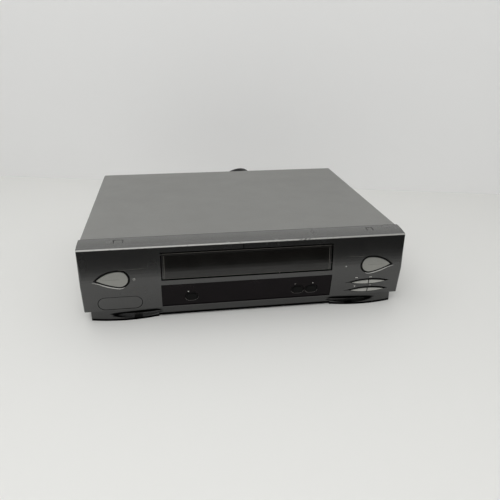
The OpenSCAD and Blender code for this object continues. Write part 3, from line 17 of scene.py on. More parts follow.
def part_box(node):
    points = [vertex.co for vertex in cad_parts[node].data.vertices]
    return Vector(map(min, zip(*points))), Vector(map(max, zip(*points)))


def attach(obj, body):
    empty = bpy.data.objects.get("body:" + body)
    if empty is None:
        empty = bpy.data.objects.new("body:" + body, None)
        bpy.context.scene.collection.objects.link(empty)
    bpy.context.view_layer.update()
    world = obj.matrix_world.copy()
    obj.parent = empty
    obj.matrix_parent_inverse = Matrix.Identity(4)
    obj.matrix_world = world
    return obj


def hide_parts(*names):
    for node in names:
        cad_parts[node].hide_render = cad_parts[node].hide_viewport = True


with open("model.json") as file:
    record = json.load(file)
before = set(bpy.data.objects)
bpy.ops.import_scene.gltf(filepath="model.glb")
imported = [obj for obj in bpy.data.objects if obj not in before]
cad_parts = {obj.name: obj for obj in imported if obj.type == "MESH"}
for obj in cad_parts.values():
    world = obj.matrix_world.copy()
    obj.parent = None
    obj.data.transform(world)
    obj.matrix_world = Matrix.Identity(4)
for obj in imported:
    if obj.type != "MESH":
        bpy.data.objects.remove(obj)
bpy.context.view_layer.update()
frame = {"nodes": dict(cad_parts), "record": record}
nodes = frame["nodes"]

# %% [markdown]
# ## The camera
# The photograph was taken from a little left of the middle, above the table. Its lens,
# place and tilt were found by fitting the corners of a box of the recorder's size to the
# picture, so they are written as plain numbers. A camera looks along its own -Z with +Y
# up, so the three axes of its view are the columns of its matrix.

# %% Camera
PICTURE = 500
FOCAL_PX = 527.79
YAW, PITCH, ROLL = (math.radians(a) for a in (8.834, -22.79, 0.311))
EYE = Vector((-0.0829, -0.7068, 0.3179))


def view_axes(yaw, pitch, roll):
    """Right, up and forward: forward is turned by yaw from +Y towards +X and tipped by
    pitch, right is square to it and level, and both others are then turned by roll."""
    forward = Vector(
        (math.sin(yaw) * math.cos(pitch), math.cos(yaw) * math.cos(pitch), math.sin(pitch))
    )
    right = forward.cross(Vector((0, 0, 1))).normalized()
    up = right.cross(forward)
    return (
        right * math.cos(roll) + up * math.sin(roll),
        up * math.cos(roll) - right * math.sin(roll),
        forward,
    )


right, up, forward = view_axes(YAW, PITCH, ROLL)
camera_data = bpy.data.cameras.new("photo_view")
camera_data.sensor_width = 36
camera_data.lens = camera_data.sensor_width * FOCAL_PX / PICTURE
camera_data.clip_start, camera_data.clip_end = 0.01, 20
camera = bpy.data.objects.new("photo_view", camera_data)
bpy.context.scene.collection.objects.link(camera)
turn = Matrix((right, up, -forward)).transposed()
camera.matrix_world = Matrix.Translation(EYE) @ turn.to_4x4()
bpy.context.scene.camera = camera
print("camera at", tuple(round(v, 3) for v in EYE), "lens", round(camera_data.lens, 2))

# %% [markdown]
# ## Surfaces from formulas
# A new piece here is a grid of points: two parameters, u and v, run over the piece, and
# numpy works out all its points at once. A modifier or a loop over vertices could make
# the same shapes, but a formula says exactly where each point lies. One helper turns such
# a grid into a mesh, and a second one carries a circle along a path, which is what the
# mains lead is.

# %% Grid and tube helpers
ALL_PIECES = []


def add_piece(name, points, faces, body, slot):
    """Makes a mesh from points and faces, rides it on a body and names its finish."""
    mesh = bpy.data.meshes.new(name)
    mesh.from_pydata(np.asarray(points, float).tolist(), [], faces)
    mesh.validate()
    mesh.update()
    mesh.shade_smooth()
    piece = bpy.data.objects.new(name, mesh)
    bpy.context.scene.collection.objects.link(piece)
    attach(piece, body)
    ALL_PIECES.append((piece, slot))
    return piece


def grid_faces(rows, columns, around=False):
    """Quads between neighbouring rows and columns; around joins the last column to the first."""
    span = columns if around else columns - 1
    r, c = np.meshgrid(np.arange(rows - 1), np.arange(span), indexing="ij")
    a = r * columns + c
    b = r * columns + (c + 1) % columns
    return np.stack([a, b, b + columns, a + columns], -1).reshape(-1, 4)


def repeated(faces, size, copies):
    """The same faces for several copies of a grid of size points, one after another."""
    return np.vstack([faces + size * i for i in range(copies)])


def smooth_path(points, steps):
    """A Catmull-Rom curve through the points: between two of them, it leaves along the
    chord of its neighbours and arrives the same way, as a cubic in t."""
    p = np.asarray(points, float)
    p = np.vstack([2 * p[0] - p[1], p, 2 * p[-1] - p[-2]])
    t = np.linspace(0, 1, steps, endpoint=False)[None, :, None]
    a, b, c, d = (p[i : len(p) - 3 + i, None, :] for i in range(4))
    curve = 0.5 * (
        2 * b + (c - a) * t + (2 * a - 5 * b + 4 * c - d) * t**2
        + (3 * b - a - 3 * c + d) * t**3
    )
    return np.vstack([curve.reshape(-1, 3), p[-2]])


def tube_points(path, radius, sides):
    """Rings of one radius round a path: each ring lies in the plane of side = way x up
    and over = side x way."""
    p = np.asarray(path, float)
    way = np.gradient(p, axis=0)
    way /= np.linalg.norm(way, axis=1, keepdims=True)
    side = np.cross(way, (0.0, 0.0, 1.0))
    side /= np.linalg.norm(side, axis=1, keepdims=True)
    over = np.cross(side, way)
    a = np.linspace(0, 2 * np.pi, sides, endpoint=False)
    ring = np.cos(a)[None, :, None] * side[:, None] + np.sin(a)[None, :, None] * over[:, None]
    return (p[:, None] + radius * ring).reshape(-1, 3)


def tube(name, path, radius, body, slot, sides):
    """A closed tube along a path, with one flat face at each end."""
    points = tube_points(path, radius, sides)
    rows = len(path)
    faces = grid_faces(rows, sides, around=True).tolist()
    faces.append(list(range(sides))[::-1])
    faces.append([(rows - 1) * sides + i for i in range(sides)])
    return add_piece(name, points, [f[::-1] for f in faces], body, slot)


print("helpers ready: grid, tube and Catmull-Rom path")

# %% [markdown]
# ## The mains lead
# The photograph shows only a bit of the lead behind the cover. The real thing has about
# 1.7 m of it, 7 mm thick, moulded to its plug. It leaves the strain relief, drops to the
# table and is wound behind the recorder: three turns inwards and three outwards on top
# of them, a diameter apart. A bevelled curve could stand for it, but a mesh tube round the
# same path is what gets measured. The route is the one that the CAD's solids follow.

# %% Lead
LEAD_D = 0.007
RELIEF_END = np.array([0.048, 0.175, 0.0])
LEAD_LOW = LEAD_D / 2 + 0.0001
LEAD_PITCH = LEAD_D + 0.0005
LEAD_HIGH = 0.087
COIL_R = 0.0505
COIL_TURNS = 3
TAIL = 0.033
STEPS, STEPS_A_TURN, SIDES = 4, 36, 14
MM = 0.001
# X and Y in millimetres from the relief's end, and Z as a share of the drop to the table
way_down = np.array([
    [0, 0, 1], [0, 7, 1], [-1, 14, 1], [-3.5, 21, 0.9975], [-7.5, 27, 0.9877],
    [-13, 32, 0.9656], [-19.5, 36.5, 0.93], [-26, 41, 0.8771], [-31.5, 46, 0.8071],
    [-36, 51.5, 0.72], [-40, 57.5, 0.61], [-43.5, 63.5, 0.49], [-47, 69.5, 0.365],
    [-51, 75.5, 0.25], [-56, 81.3, 0.15], [-62.5, 86.3, 0.075], [-70, 89.8, 0.025],
    [-78, 91, 0.004], [-86, 91, 0], [-94, 91, 0],
])
way_down = way_down * [MM, MM, LEAD_HIGH - LEAD_LOW] + [0, 0, LEAD_LOW]
centre = way_down[-1] - [LEAD_D, COIL_R, 0]


def coil_path(steps):
    """The radius falls by one pitch a turn and grows again; the height climbs one pitch,
    as half a cosine, in the half turn where the spiral reverses."""
    t = np.linspace(0, 2 * COIL_TURNS, 2 * COIL_TURNS * steps + 1)
    r = COIL_R - LEAD_PITCH * np.minimum(t, 2 * COIL_TURNS - t)
    rise = np.clip((t - COIL_TURNS + 0.25) * 2, 0, 1)
    z = LEAD_PITCH * (0.5 - 0.5 * np.cos(np.pi * rise))
    a = np.pi / 2 + 2 * np.pi * t
    return np.stack([centre[0] + r * np.cos(a), centre[1] + r * np.sin(a), LEAD_LOW + z], -1)


coil = coil_path(STEPS_A_TURN)
tail = coil[-1] + np.outer(np.linspace(1 / STEPS, 1, STEPS), [-TAIL, 0, 0])
lead_path = RELIEF_END + np.vstack([smooth_path(way_down, STEPS)[:-1], coil, tail])
lead = tube("mains_lead", lead_path, LEAD_D / 2, "case", "cord_rubber", SIDES)
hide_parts("mains_cord", "cord_coil")
lead_length = float(np.linalg.norm(np.diff(lead_path, axis=0), axis=1).sum())
print("lead of", round(lead_length, 3), "m")

# %% [markdown]
# ## Dishes and collars
# The two drop-shaped buttons lie in dishes whose lower lips catch the light, and the oval
# buttons in the window have thin collars. The dishes are painted near black as shade, and
# the light on the lips and on the lower half of each collar's ridge is a painted highlight.
# A ring that is modelled flat would stand off the curved face, so each one is drawn in x
# and z, as an outline that can grow, and laid on the face by one formula.

# %% Dishes and collars
KNEE_Y, KNEE_Z = -0.157, 0.0577
LOWER_H, LOWER_BACK = 0.0437, 0.007
UPPER_H, UPPER_BACK = 0.03443, 0.001857
SHIFT = 0.0013
HAIR = 0.00003
ARC_N, END_N = 24, 36
DROP_R, DROP_REACH, DROP_UP, DROP_LOW = 0.0091, 0.0254, 0.034, 0.080
DROP_X, DROP_Z = 0.147, 0.0565
TAIL_REACH, TAIL_DROP = 0.008, 0.35


def face_y(z, back):
    """Y of a point that lies back behind the face: the face falls back with the power 1.5
    of the height below the knee and with the square of the height above it."""
    below = np.clip((KNEE_Z - z) / LOWER_H, 0, None)
    above = np.clip((z - KNEE_Z) / UPPER_H, 0, None)
    return KNEE_Y + LOWER_BACK * below**1.5 + UPPER_BACK * above**2 + back


def on_face(outline, back):
    """Points of x and z, laid back behind the face."""
    outline = np.asarray(outline, float)
    return np.stack([outline[..., 0], face_y(outline[..., 1], back), outline[..., 1]], -1)


def arc(middle, r, start, end, n=ARC_N):
    """Points on a circle, from one angle to another."""
    a = np.linspace(start, end, n)
    return np.asarray(middle) + r * np.stack([np.cos(a), np.sin(a)], -1)


def angle(point, middle):
    """The angle at which a point is seen from a middle."""
    return math.atan2(point[1] - middle[1], point[0] - middle[0])


def flank(r):
    """Centre of the arc of radius r that leaves the drop's point and meets its round end
    without a kink: as far from the point as r, and from the end's centre as r less its
    radius."""
    x = (DROP_REACH**2 + 2 * DROP_R * r - DROP_R**2) / (2 * DROP_REACH)
    return np.array([x, -math.sqrt(r * r - x * x)])


def drop_outline(side, grow, tail):
    """A drop whose point looks outwards: upper flank, round end and lower flank as three
    arcs, all grown by the same distance; the point is where the grown flanks cross. Tail
    draws the point out and down, by a pull that fades with the square of the way from it."""
    end, high, low = np.array([DROP_REACH, 0]), flank(DROP_UP), flank(DROP_LOW) * [1, -1]
    r_high, r_low = DROP_UP + grow, DROP_LOW + grow
    gap = np.linalg.norm(low - high)
    way = (low - high) / gap
    along = (gap**2 + r_high**2 - r_low**2) / (2 * gap)
    tip = high + along * way + math.sqrt(r_high**2 - along**2) * np.array([-way[1], way[0]])
    high_end, low_end = angle(end, high), angle(end, low)
    low_start = angle(tip, low) % (2 * np.pi) - 2 * np.pi
    points = np.vstack([
        [tip],
        arc(high, r_high, angle(tip, high), high_end),
        arc(end, DROP_R + grow, high_end, low_end, END_N),
        arc(low, r_low, low_end, low_start),
    ])
    pull = tail * np.clip(1 - (points[:, 0] - tip[0]) / TAIL_REACH, 0, 1)[:, None] ** 2
    points -= pull * [1, TAIL_DROP]
    x = side * (DROP_REACH - points[:, 0] + DROP_X) + SHIFT
    return np.stack([x, DROP_Z + points[:, 1]], -1)


def face_ring(name, outline, widths, backs, slot):
    """A band round an outline: outline(width) gives its line, backs how deep each lies."""
    rows = [on_face(outline(w), b) for w, b in zip(widths, backs)]
    faces = grid_faces(len(rows), len(rows[0]), around=True)
    add_piece(name, np.vstack(rows), faces.tolist(), "case", slot)


DISH_GAP, DISH_WIDTH, DISH_DEPTH, DISH_TAIL = 0.00094, 0.0015, 0.00097, 0.004
# each line of the lip is given by how far it has grown and by its tail
LIP_INNER, LIP_OUTER = (0.0023, 0.004), (0.0036, 0.0055)
# the lip takes the last eight points of the round end and the lower flank but its last
LIP = slice(1 + ARC_N + END_N - 8, 2 * ARC_N + END_N)
for side, word in ((-1, "left"), (1, "right")):
    t = np.linspace(0, 1, 8)
    # painted shade: each dish is near black
    face_ring(
        f"dish_{word}",
        lambda w, side=side: drop_outline(side, DISH_GAP + DISH_WIDTH * w, DISH_TAIL * w),
        t,
        DISH_DEPTH * (1 - t**1.6) - HAIR,
        "dish_shade",
    )
    # a painted highlight on the dish's lower lip: a crescent between two outlines, tapered as the
    # root of a sine
    inner, outer = (drop_outline(side, *line)[LIP] for line in (LIP_INNER, LIP_OUTER))
    taper = np.sin(np.linspace(0, np.pi, len(inner)))[:, None] ** 0.5
    rows = [on_face(inner + (outer - inner) * taper * u, -HAIR) for u in (0, 0.5, 1)]
    faces = grid_faces(len(rows), len(inner))[:, ::side]
    add_piece(f"dish_lip_{word}", np.vstack(rows), faces.tolist(), "case", "lip_highlight")


def oval(middle, width, height, grow):
    """A stadium: two half circles with straight lines between them."""
    (x, z), r, reach = middle, height / 2 + grow, (width - height) / 2
    return np.vstack([
        arc([x + reach, z], r, -np.pi / 2, np.pi / 2),
        arc([x - reach, z], r, np.pi / 2, 3 * np.pi / 2),
    ])


OVAL_W, OVAL_H, OVAL_Z = 0.0135, 0.009, 0.027
COLLAR_GROW = (0.0009, 0.00095, 0.0011, 0.0013, 0.0014)
COLLAR_BACK = (0.0018, 0.0009, 0.0007, 0.0009, 0.00115)
for word, x in (("record", -0.0656), ("down", 0.0618), ("up", 0.0788)):
    face_ring(
        f"collar_{word}",
        lambda w, x=x: oval((x, OVAL_Z), OVAL_W, OVAL_H, w),
        COLLAR_GROW,
        COLLAR_BACK,
        "collar_plastic",
    )
print("dishes, lips and collars:", len(ALL_PIECES) - 1)

# %% [markdown]
# ## Slits, lines and signs
# On the real face, the latch slits and the badge's groove are dark gaps, the creases and
# the flap's rim catch the light as hairlines, and the signs are printed. The shade in the
# gaps is painted here as black patches, and so are a dark line above the flap and dark
# wedges at the tails of the leaf-shaped buttons; the light on the hairlines is painted as
# pale patches. They could be painted by masks in the fascia's material, but small shapes
# are easier to place as meshes, and they stay sharp in an export. So each is a patch as
# thin as a print, a hair in front of what carries it, and all the patches of one kind are
# one piece. The signs are a bar in an open ring, triangles, a square, two bars, a minus
# and a plus.

# %% Slits, lines and signs
SLOPE_R, SLOPE_TOP, SLOPE_Y = 0.1264, 0.096, -0.129
FLAP_BACK, WINDOW_BACK, GROOVE_BACK = 0.0014, 0.001, 0.00012


def on_slope(outline):
    """Points of x and y laid on the top slope, which is an arc that starts level."""
    x, y = np.asarray(outline, float).T
    z = SLOPE_TOP - SLOPE_R + np.sqrt(SLOPE_R**2 - (y - SLOPE_Y) ** 2)
    return np.stack([x, y, z + HAIR], -1)


def printed(back=0.0):
    """A way to lay points of x and z a hair in front of a surface that lies back behind
    the face."""
    return lambda p: on_face(p, back - HAIR)


def patches(name, quads, slot, lay, body="case", n=5):
    """Thin patches in one piece, for prints and for painted shade and highlights: each quad
    of four corners becomes a grid, by going straight along u between two edges that go
    straight along v."""
    u, v = (a[..., None] for a in np.meshgrid(np.linspace(0, 1, n), np.linspace(0, 1, n)))
    a, b, c, d = np.asarray(quads, float).transpose(1, 0, 2)[:, :, None, None, :]
    flat = (a * (1 - u) + b * u) * (1 - v) + (d * (1 - u) + c * u) * v
    faces = repeated(grid_faces(n, n), n * n, len(flat))
    add_piece(name, lay(flat.reshape(-1, 2)), faces.tolist(), body, slot)


def box_of(x, z, width, height):
    """Four corners round a middle."""
    w, h = width / 2, height / 2
    return [(x - w, z - h), (x + w, z - h), (x + w, z + h), (x - w, z + h)]


def pointer(x, z, size):
    """A triangle, as a quad whose second and third corners meet in its point; a negative
    size turns it to the left."""
    w, h = size / 2, abs(size) / 2
    return [(x - w, z - h), (x + w, z), (x + w, z), (x - w, z + h)]


ARM_W, ARM_LENGTH, ARM_Y, BAR_W, BAR_Y = 0.0007, 0.008, -0.139, 0.0008, -0.1353
for word, middle, width in (("left", -0.145, 0.011), ("right", 0.151, 0.008)):
    reach = (width - ARM_W) / 2
    arms = [box_of(middle + side * reach, ARM_Y, ARM_W, ARM_LENGTH) for side in (-1, 1)]
    bar = box_of(middle, BAR_Y, width, BAR_W)
    patches(f"latch_slit_{word}", arms + [bar], "slit_shadow", on_slope)
# a dark upright line above the flap, painted in the same black as the slits
patches("dark_line_above_flap", [box_of(-0.0043, 0.0887, 0.0014, 0.0066)], "slit_shadow", printed())

BADGE, BADGE_W, BADGE_H = (-0.1478, 0.0244), 0.051, 0.018
face_ring(
    "badge_groove",
    lambda w: oval(BADGE, BADGE_W, BADGE_H, w),
    (-0.0006, 0.00005),
    (GROOVE_BACK, GROOVE_BACK),
    "slit_shadow",
)
# painted shade: dark wedges at the tails of the leaf-shaped buttons
TAIL_IN, TAIL_OUT = 0.1203, 0.1268
tails = [
    [(TAIL_IN, z - 0.0009), (TAIL_OUT, z - 0.0006), (TAIL_OUT, z + 0.0005), (TAIL_IN, z - 0.0006)]
    for z in (0.0333, 0.0214)
]
patches("button_tails", tails, "slit_shadow", printed(), n=4)

FLAP_W, FLAP_LOW, FLAP_TOP = 0.1990, 0.0529, 0.0841
RIM_X, RIM_Z, RIM_H = FLAP_W / 2 - 0.0028, 0.0675, 0.0272
# painted highlights: pale hairlines along the flap's rim
rim = [
    box_of(SHIFT, FLAP_TOP - 0.0004, FLAP_W - 0.001, 0.0005),
    box_of(SHIFT, FLAP_LOW + 0.0005, FLAP_W - 0.001, 0.0004),
]
rim += [box_of(SHIFT + side * RIM_X, RIM_Z, 0.0005, RIM_H) for side in (-1, 1)]
patches("flap_rim_line", rim, "hairline_highlight", printed(FLAP_BACK), "flap", 9)
# painted highlights: pale hairlines along three creases
creases = [
    [(-0.1464, 0.0673), (-0.1181, 0.0687), (-0.1181, 0.0690), (-0.1464, 0.0677)],
    [(0.1215, 0.0690), (0.1402, 0.0674), (0.1402, 0.0678), (0.1215, 0.0693)],
    [(-0.1420, 0.0448), (-0.1181, 0.0452), (-0.1181, 0.0455), (-0.1420, 0.0452)],
]
patches("crease_lines", creases, "hairline_highlight", printed(), n=8)

SIGN, STROKE = 0.0017, 0.0004
play = [pointer(0.1194, 0.0558, SIGN)]
rewind = [pointer(x, 0.0392, -SIGN) for x in (0.1330, 0.1346)]
fast_forward = [pointer(x, 0.0390, SIGN) for x in (0.1514, 0.1530)]
stop = [box_of(0.1333, 0.0268, 0.0015, 0.0014)]
pause = [box_of(x, 0.0270, STROKE, 0.0014) for x in (0.1526, 0.1536)]
STANDBY_X, STANDBY_Z, STANDBY_N, STANDBY_GAP = -0.1297, 0.0560, 14, 0.6
standby = [box_of(STANDBY_X, 0.0566, STROKE, 0.0016)]
signs = play + rewind + fast_forward + stop + pause + standby
patches("signs", signs, "print_white", printed(), n=3)
record = [box_of(-0.0693, 0.0345, 0.0013, 0.0013)]
minus, plus = ([box_of(x, 0.0352, SIGN, STROKE)] for x in (0.0584, 0.0800))
plus += [box_of(0.0800, 0.0352, STROKE, SIGN)]
window_signs = record + minus + plus
patches("window_signs", window_signs, "print_white", printed(WINDOW_BACK), n=3)
opening = np.pi / 2 + STANDBY_GAP, 5 * np.pi / 2 - STANDBY_GAP
band = [arc((STANDBY_X, STANDBY_Z), r, *opening, STANDBY_N) for r in (0.0011, 0.0014)]
faces = grid_faces(2, STANDBY_N)[:, ::-1]
add_piece("standby_sign", on_face(np.vstack(band), -HAIR), faces.tolist(), "case", "print_white")
print("slits, lines and printed signs:", len(signs + window_signs), "strokes and the ring")

# %% [markdown]
# ## Small parts on the back
# The rear panel of the real thing is held by cross-head screws, each of its two
# 21-way sockets has two rows of sprung contacts on its tongue, and a blank foil plate
# is stuck beside them. A screw head is a dome, turned round its axis, with the cross
# pressed into it, so it is one grid of radius and angle. The contacts and the plate are
# flat, so they are patches as the signs are.

# %% Screws, contacts and the blank plate
REAR_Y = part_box("rear_panel")[1][1]
SCREW_R, SCREW_H, CROSS_W, CROSS_R = 0.0032, 0.0016, 0.0005, 0.0019
HEAD_ROWS, HEAD_SIDES = 14, 40


def screw_head(x, z, turn):
    """Height over radius follows a half ellipse, from just off the axis to just inside its
    foot; inside the cross it is lower by half the dome's height."""
    r, a = np.meshgrid(
        np.linspace(0.00001, SCREW_R, HEAD_ROWS),
        np.linspace(0, 2 * np.pi, HEAD_SIDES, endpoint=False),
        indexing="ij",
    )
    h = SCREW_H * np.sqrt(1 - (r / SCREW_R * 0.999) ** 2)
    near = np.minimum(abs(r * np.cos(a)), abs(r * np.sin(a)))
    h = np.where((near < CROSS_W) & (r < CROSS_R), h - SCREW_H / 2, h)
    head = [x + r * np.cos(a + turn), REAR_Y + h, z + r * np.sin(a + turn)]
    return np.stack(head, -1).reshape(-1, 3)


upper_row = [(x, 0.084) for x in (-0.165, -0.045, 0.085, 0.172)]
lower_row = [(x, 0.0165) for x in (-0.045, 0.085)]
rng = np.random.default_rng(5)
heads = [screw_head(x, z, rng.uniform(0, 1.5)) for x, z in upper_row + lower_row]
faces = grid_faces(HEAD_ROWS, HEAD_SIDES, around=True)[:, ::-1]
faces = repeated(faces, HEAD_ROWS * HEAD_SIDES, len(heads))
add_piece("rear_screws", np.vstack(heads), faces.tolist(), "case", "zinc_steel")

SCART_X, SCART_PITCH, SCART_Z, TONGUE_HALF = -0.045, 0.060, 0.040, 0.002
CONTACTS, CONTACT_PITCH, CONTACT_W, CONTACT_LENGTH, CONTACT_IN = 10, 0.0034, 0.0016, 0.0052, 0.006
PLATE_X, PLATE_Z, PLATE_W, PLATE_H = 0.064, 0.046, 0.060, 0.030


def at_height(z):
    """A way to lay points of x and y level, at one height."""
    return lambda p: np.stack([p[:, 0], p[:, 1], np.full(len(p), z)], -1)


def on_back(p):
    """Points of x and z just behind the rear panel; x runs the other way from behind."""
    return np.stack([-p[:, 0], np.full(len(p), REAR_Y + 2 * HAIR), p[:, 1]], -1)


across = CONTACT_PITCH * (np.arange(CONTACTS) - (CONTACTS - 1) / 2)
for word, middle in (("left", SCART_X + SCART_PITCH / 2), ("right", SCART_X - SCART_PITCH / 2)):
    strips = [box_of(middle + x, REAR_Y - CONTACT_IN, CONTACT_W, CONTACT_LENGTH) for x in across]
    for row, above in (("upper", TONGUE_HALF + HAIR), ("lower", -TONGUE_HALF - HAIR)):
        patches(f"contacts_{word}_{row}", strips, "brass", at_height(SCART_Z + above), n=3)
patches("blank_plate", [box_of(-PLATE_X, PLATE_Z, PLATE_W, PLATE_H)], "foil_plate", on_back, n=8)
print("rear panel:", len(heads), "screws, 4 rows of contacts and a blank plate")

# %% [markdown]
# ## A helper for finishes
# Every finish starts from one Principled shader. Plain numbers go straight onto its
# sockets; only what changes over the surface comes in through nodes. All patterns read
# Object coordinates, and since every piece has its object at the origin, these are
# metres in the recorder's own frame. Most finishes need the same few nodes, so a small
# class keeps them short and lets their calls be chained.

# %% Finish helper
MATERIALS = {}
CLOUD_LOW, CLOUD_MIDDLE, CLOUD_HIGH = 0.35, 0.5, 0.65
UNLIT = (0.002, 0.002, 0.002, 1)


def srgb(r, g, b):
    """A colour written as it looks on screen, 0 to 255, turned into linear light."""
    c = np.array([r, g, b]) / 255
    return tuple(np.where(c <= 0.04045, c / 12.92, ((c + 0.055) / 1.055) ** 2.4)) + (1.0,)


class Finish:
    """A material for one slot, with short ways to add nodes and join them."""

    def __init__(self, slot, colour, roughness, metallic=0.0, **sockets):
        self.material = bpy.data.materials.new(slot)
        self.material.use_nodes = True
        self.tree = self.material.node_tree
        self.shader = self.tree.nodes["Principled BSDF"]
        self.shader.inputs["Base Color"].default_value = colour
        self.shader.inputs["Roughness"].default_value = roughness
        self.shader.inputs["Metallic"].default_value = metallic
        for socket, value in sockets.items():
            self.shader.inputs[socket.replace("_", " ")].default_value = value
        self.colour = colour
        self.place = self.add("ShaderNodeTexCoord").outputs["Object"]
        self.normal = None
        MATERIALS[slot] = self.material

    def add(self, kind, inputs=None, **settings):
        """A node of a kind; inputs are values or sockets by name or number."""
        node = self.tree.nodes.new(kind)
        for key, value in settings.items():
            setattr(node, key, value)
        for key, value in (inputs or {}).items():
            if isinstance(value, bpy.types.NodeSocket):
                self.tree.links.new(value, node.inputs[key])
            else:
                node.inputs[key].default_value = value
        return node

    def stretched(self, scale, shift=(0, 0, 0)):
        """Object coordinates scaled along X, Y and Z, then shifted."""
        inputs = {"Vector": self.place, "Scale": scale, "Location": shift}
        return self.add("ShaderNodeMapping", inputs).outputs[0]

    def noise(self, scale, detail=2.0, vector=None):
        """Cloudy noise; scale counts its lumps per metre."""
        inputs = {"Vector": vector or self.place, "Scale": scale, "Detail": detail}
        return self.add("ShaderNodeTexNoise", inputs).outputs["Fac"]

    def spread(self, value, low, high, to_low=0.0, to_high=1.0):
        """Values from low to high are spread over to_low to to_high, and held outside."""
        inputs = {"Value": value, 1: low, 2: high, 3: to_low, 4: to_high}
        return self.add("ShaderNodeMapRange", inputs).outputs["Result"]

    def maths(self, operation, a, b=0.0):
        """A calculation on one or two values, under the Math node's own name for it."""
        return self.add("ShaderNodeMath", {0: a, 1: b}, operation=operation).outputs[0]

    def axis(self, name):
        """One of the object coordinates, X, Y or Z."""
        return self.add("ShaderNodeSeparateXYZ", {0: self.place}).outputs[name]

    def tint(self, mask, colour):
        """Paints a second colour over the finish where the mask is 1."""
        base = self.shader.inputs["Base Color"]
        below = base.links[0].from_socket if base.is_linked else base.default_value[:]
        # a Mix node keeps its colour inputs at 6 and 7, and its colour output at 2
        mix = self.add("ShaderNodeMix", {0: mask, 6: below, 7: colour}, data_type="RGBA")
        self.tree.links.new(mix.outputs[2], base)
        return self

    def mottle(self, scale, amount):
        """Lets the colour drift a little lighter and darker, in lumps of one size."""
        cloud = self.noise(scale, 3.0)
        dark = tuple(c * (1 - amount) for c in self.colour[:3]) + (1.0,)
        light = tuple(min(1, c * (1 + amount)) for c in self.colour[:3]) + (1.0,)
        self.tint(self.under(cloud, CLOUD_LOW, CLOUD_MIDDLE), dark)
        return self.tint(self.spread(cloud, CLOUD_MIDDLE, CLOUD_HIGH), light)

    def rough(self, value, low, high):
        """Lets the roughness go from low to high with a value from 0 to 1."""
        self.tree.links.new(self.spread(value, 0, 1, low, high), self.shader.inputs["Roughness"])
        return self

    def raised(self, height, depth, strength=1.0):
        """Bumps the surface by a height from 0 to 1, depth metres deep."""
        inputs = {"Height": height, "Distance": depth, "Strength": strength}
        if self.normal is not None:
            inputs["Normal"] = self.normal
        self.normal = self.add("ShaderNodeBump", inputs).outputs[0]
        self.tree.links.new(self.normal, self.shader.inputs["Normal"])
        return self

    def under(self, value, low, high):
        """1 where a value lies under the lower bound, falling to 0 at the higher one."""
        return self.spread(value, low, high, 1, 0)

    def off(self, value, middle=0.0):
        """How far a value lies from a middle, to either side."""
        return self.maths("ABSOLUTE", self.maths("SUBTRACT", value, middle))

    def between(self, value, low, high, soft=0.00005):
        """1 where a value lies between two bounds, with an edge that is softened a little."""
        up = self.spread(value, low - soft, low + soft)
        return self.maths("MULTIPLY", up, self.under(value, high - soft, high + soft))

    def both(self, first, *others):
        """1 where every mask is 1."""
        for mask in others:
            first = self.maths("MULTIPLY", first, mask)
        return first

    def metal(self, mask):
        """Makes the finish as metallic as the mask, where it wasn't more so already."""
        metallic = self.shader.inputs["Metallic"]
        below = metallic.links[0].from_socket if metallic.is_linked else metallic.default_value
        self.tree.links.new(self.maths("MAXIMUM", below, mask), metallic)

    def unlit(self, *masks):
        """Blackens places that no light leaves: almost black as a metal, so that they
        mirror nothing either."""
        for mask in masks:
            self.tint(mask, UNLIT)
            self.metal(mask)

    def behind_face(self):
        """How far a point lies behind the curved face of the fascia, in metres: below the
        knee the face falls back with the power 1.5 of the height, above it with its square."""
        z = self.axis("Z")
        below = self.under(z, KNEE_Z - LOWER_H, KNEE_Z)
        above = self.spread(z, KNEE_Z, KNEE_Z + UPPER_H)
        curve = self.maths(
            "ADD",
            self.maths("MULTIPLY", self.maths("POWER", below, 1.5), LOWER_BACK),
            self.maths("MULTIPLY", self.maths("POWER", above, 2.0), UPPER_BACK),
        )
        return self.maths("SUBTRACT", self.maths("SUBTRACT", self.axis("Y"), KNEE_Y), curve)


print("finish helper ready")

# %% [markdown]
# ## The plastics and the paint
# Each of the record's slots gets one finish. The cover is folded steel in a satin grey
# paint with a fine orange peel. The fascia is moulded plastic with metal flake in it, so
# it is dark by itself and takes its tone from what it mirrors, but the lighter slope and
# the bright line along its front edge are painted light. The smoked flap and window are
# smoother. Places where no light gets out, such as the openings, are painted shade, by
# masks worked out from the curve of the face, because they are cut into a CAD solid that
# has one material.

# %% The cover and the fascia
JOINT_Y = SLOPE_Y
DARK = srgb(12, 12, 12)
cover = Finish("cover_paint", srgb(121, 121, 118), 0.5)
cover.mottle(900, 0.05).mottle(9, 0.025)
cover.tint(cover.between(cover.axis("Y"), JOINT_Y - 0.01, JOINT_Y + 0.0007), srgb(52, 52, 51))
cover.raised(cover.noise(1400), 0.00006, 0.35)
cover.rough(cover.noise(30), 0.42, 0.56)

fascia = Finish("fascia_plastic", srgb(18, 18, 17), 0.26, Specular_IOR_Level=1.0, IOR=1.54)
fascia.mottle(2200, 0.12)
fascia.raised(fascia.noise(2600), 0.00003, 0.3)
fascia.rough(fascia.noise(40), 0.22, 0.3)
x, y, z = (fascia.axis(name) for name in "XYZ")

# painted light lightens the slope, a painted highlight runs along its front edge, and
# handling has nicked that edge, most of all near one place
EDGE_Y, EDGE_Z, NICK_X, NICK_REACH = -0.1540, 0.0919, 0.068, 0.02
fascia.tint(fascia.spread(z, EDGE_Z, EDGE_Z + 0.0008), srgb(66, 66, 64))
fascia.tint(fascia.between(y, JOINT_Y - 0.0006, 0.0), DARK)
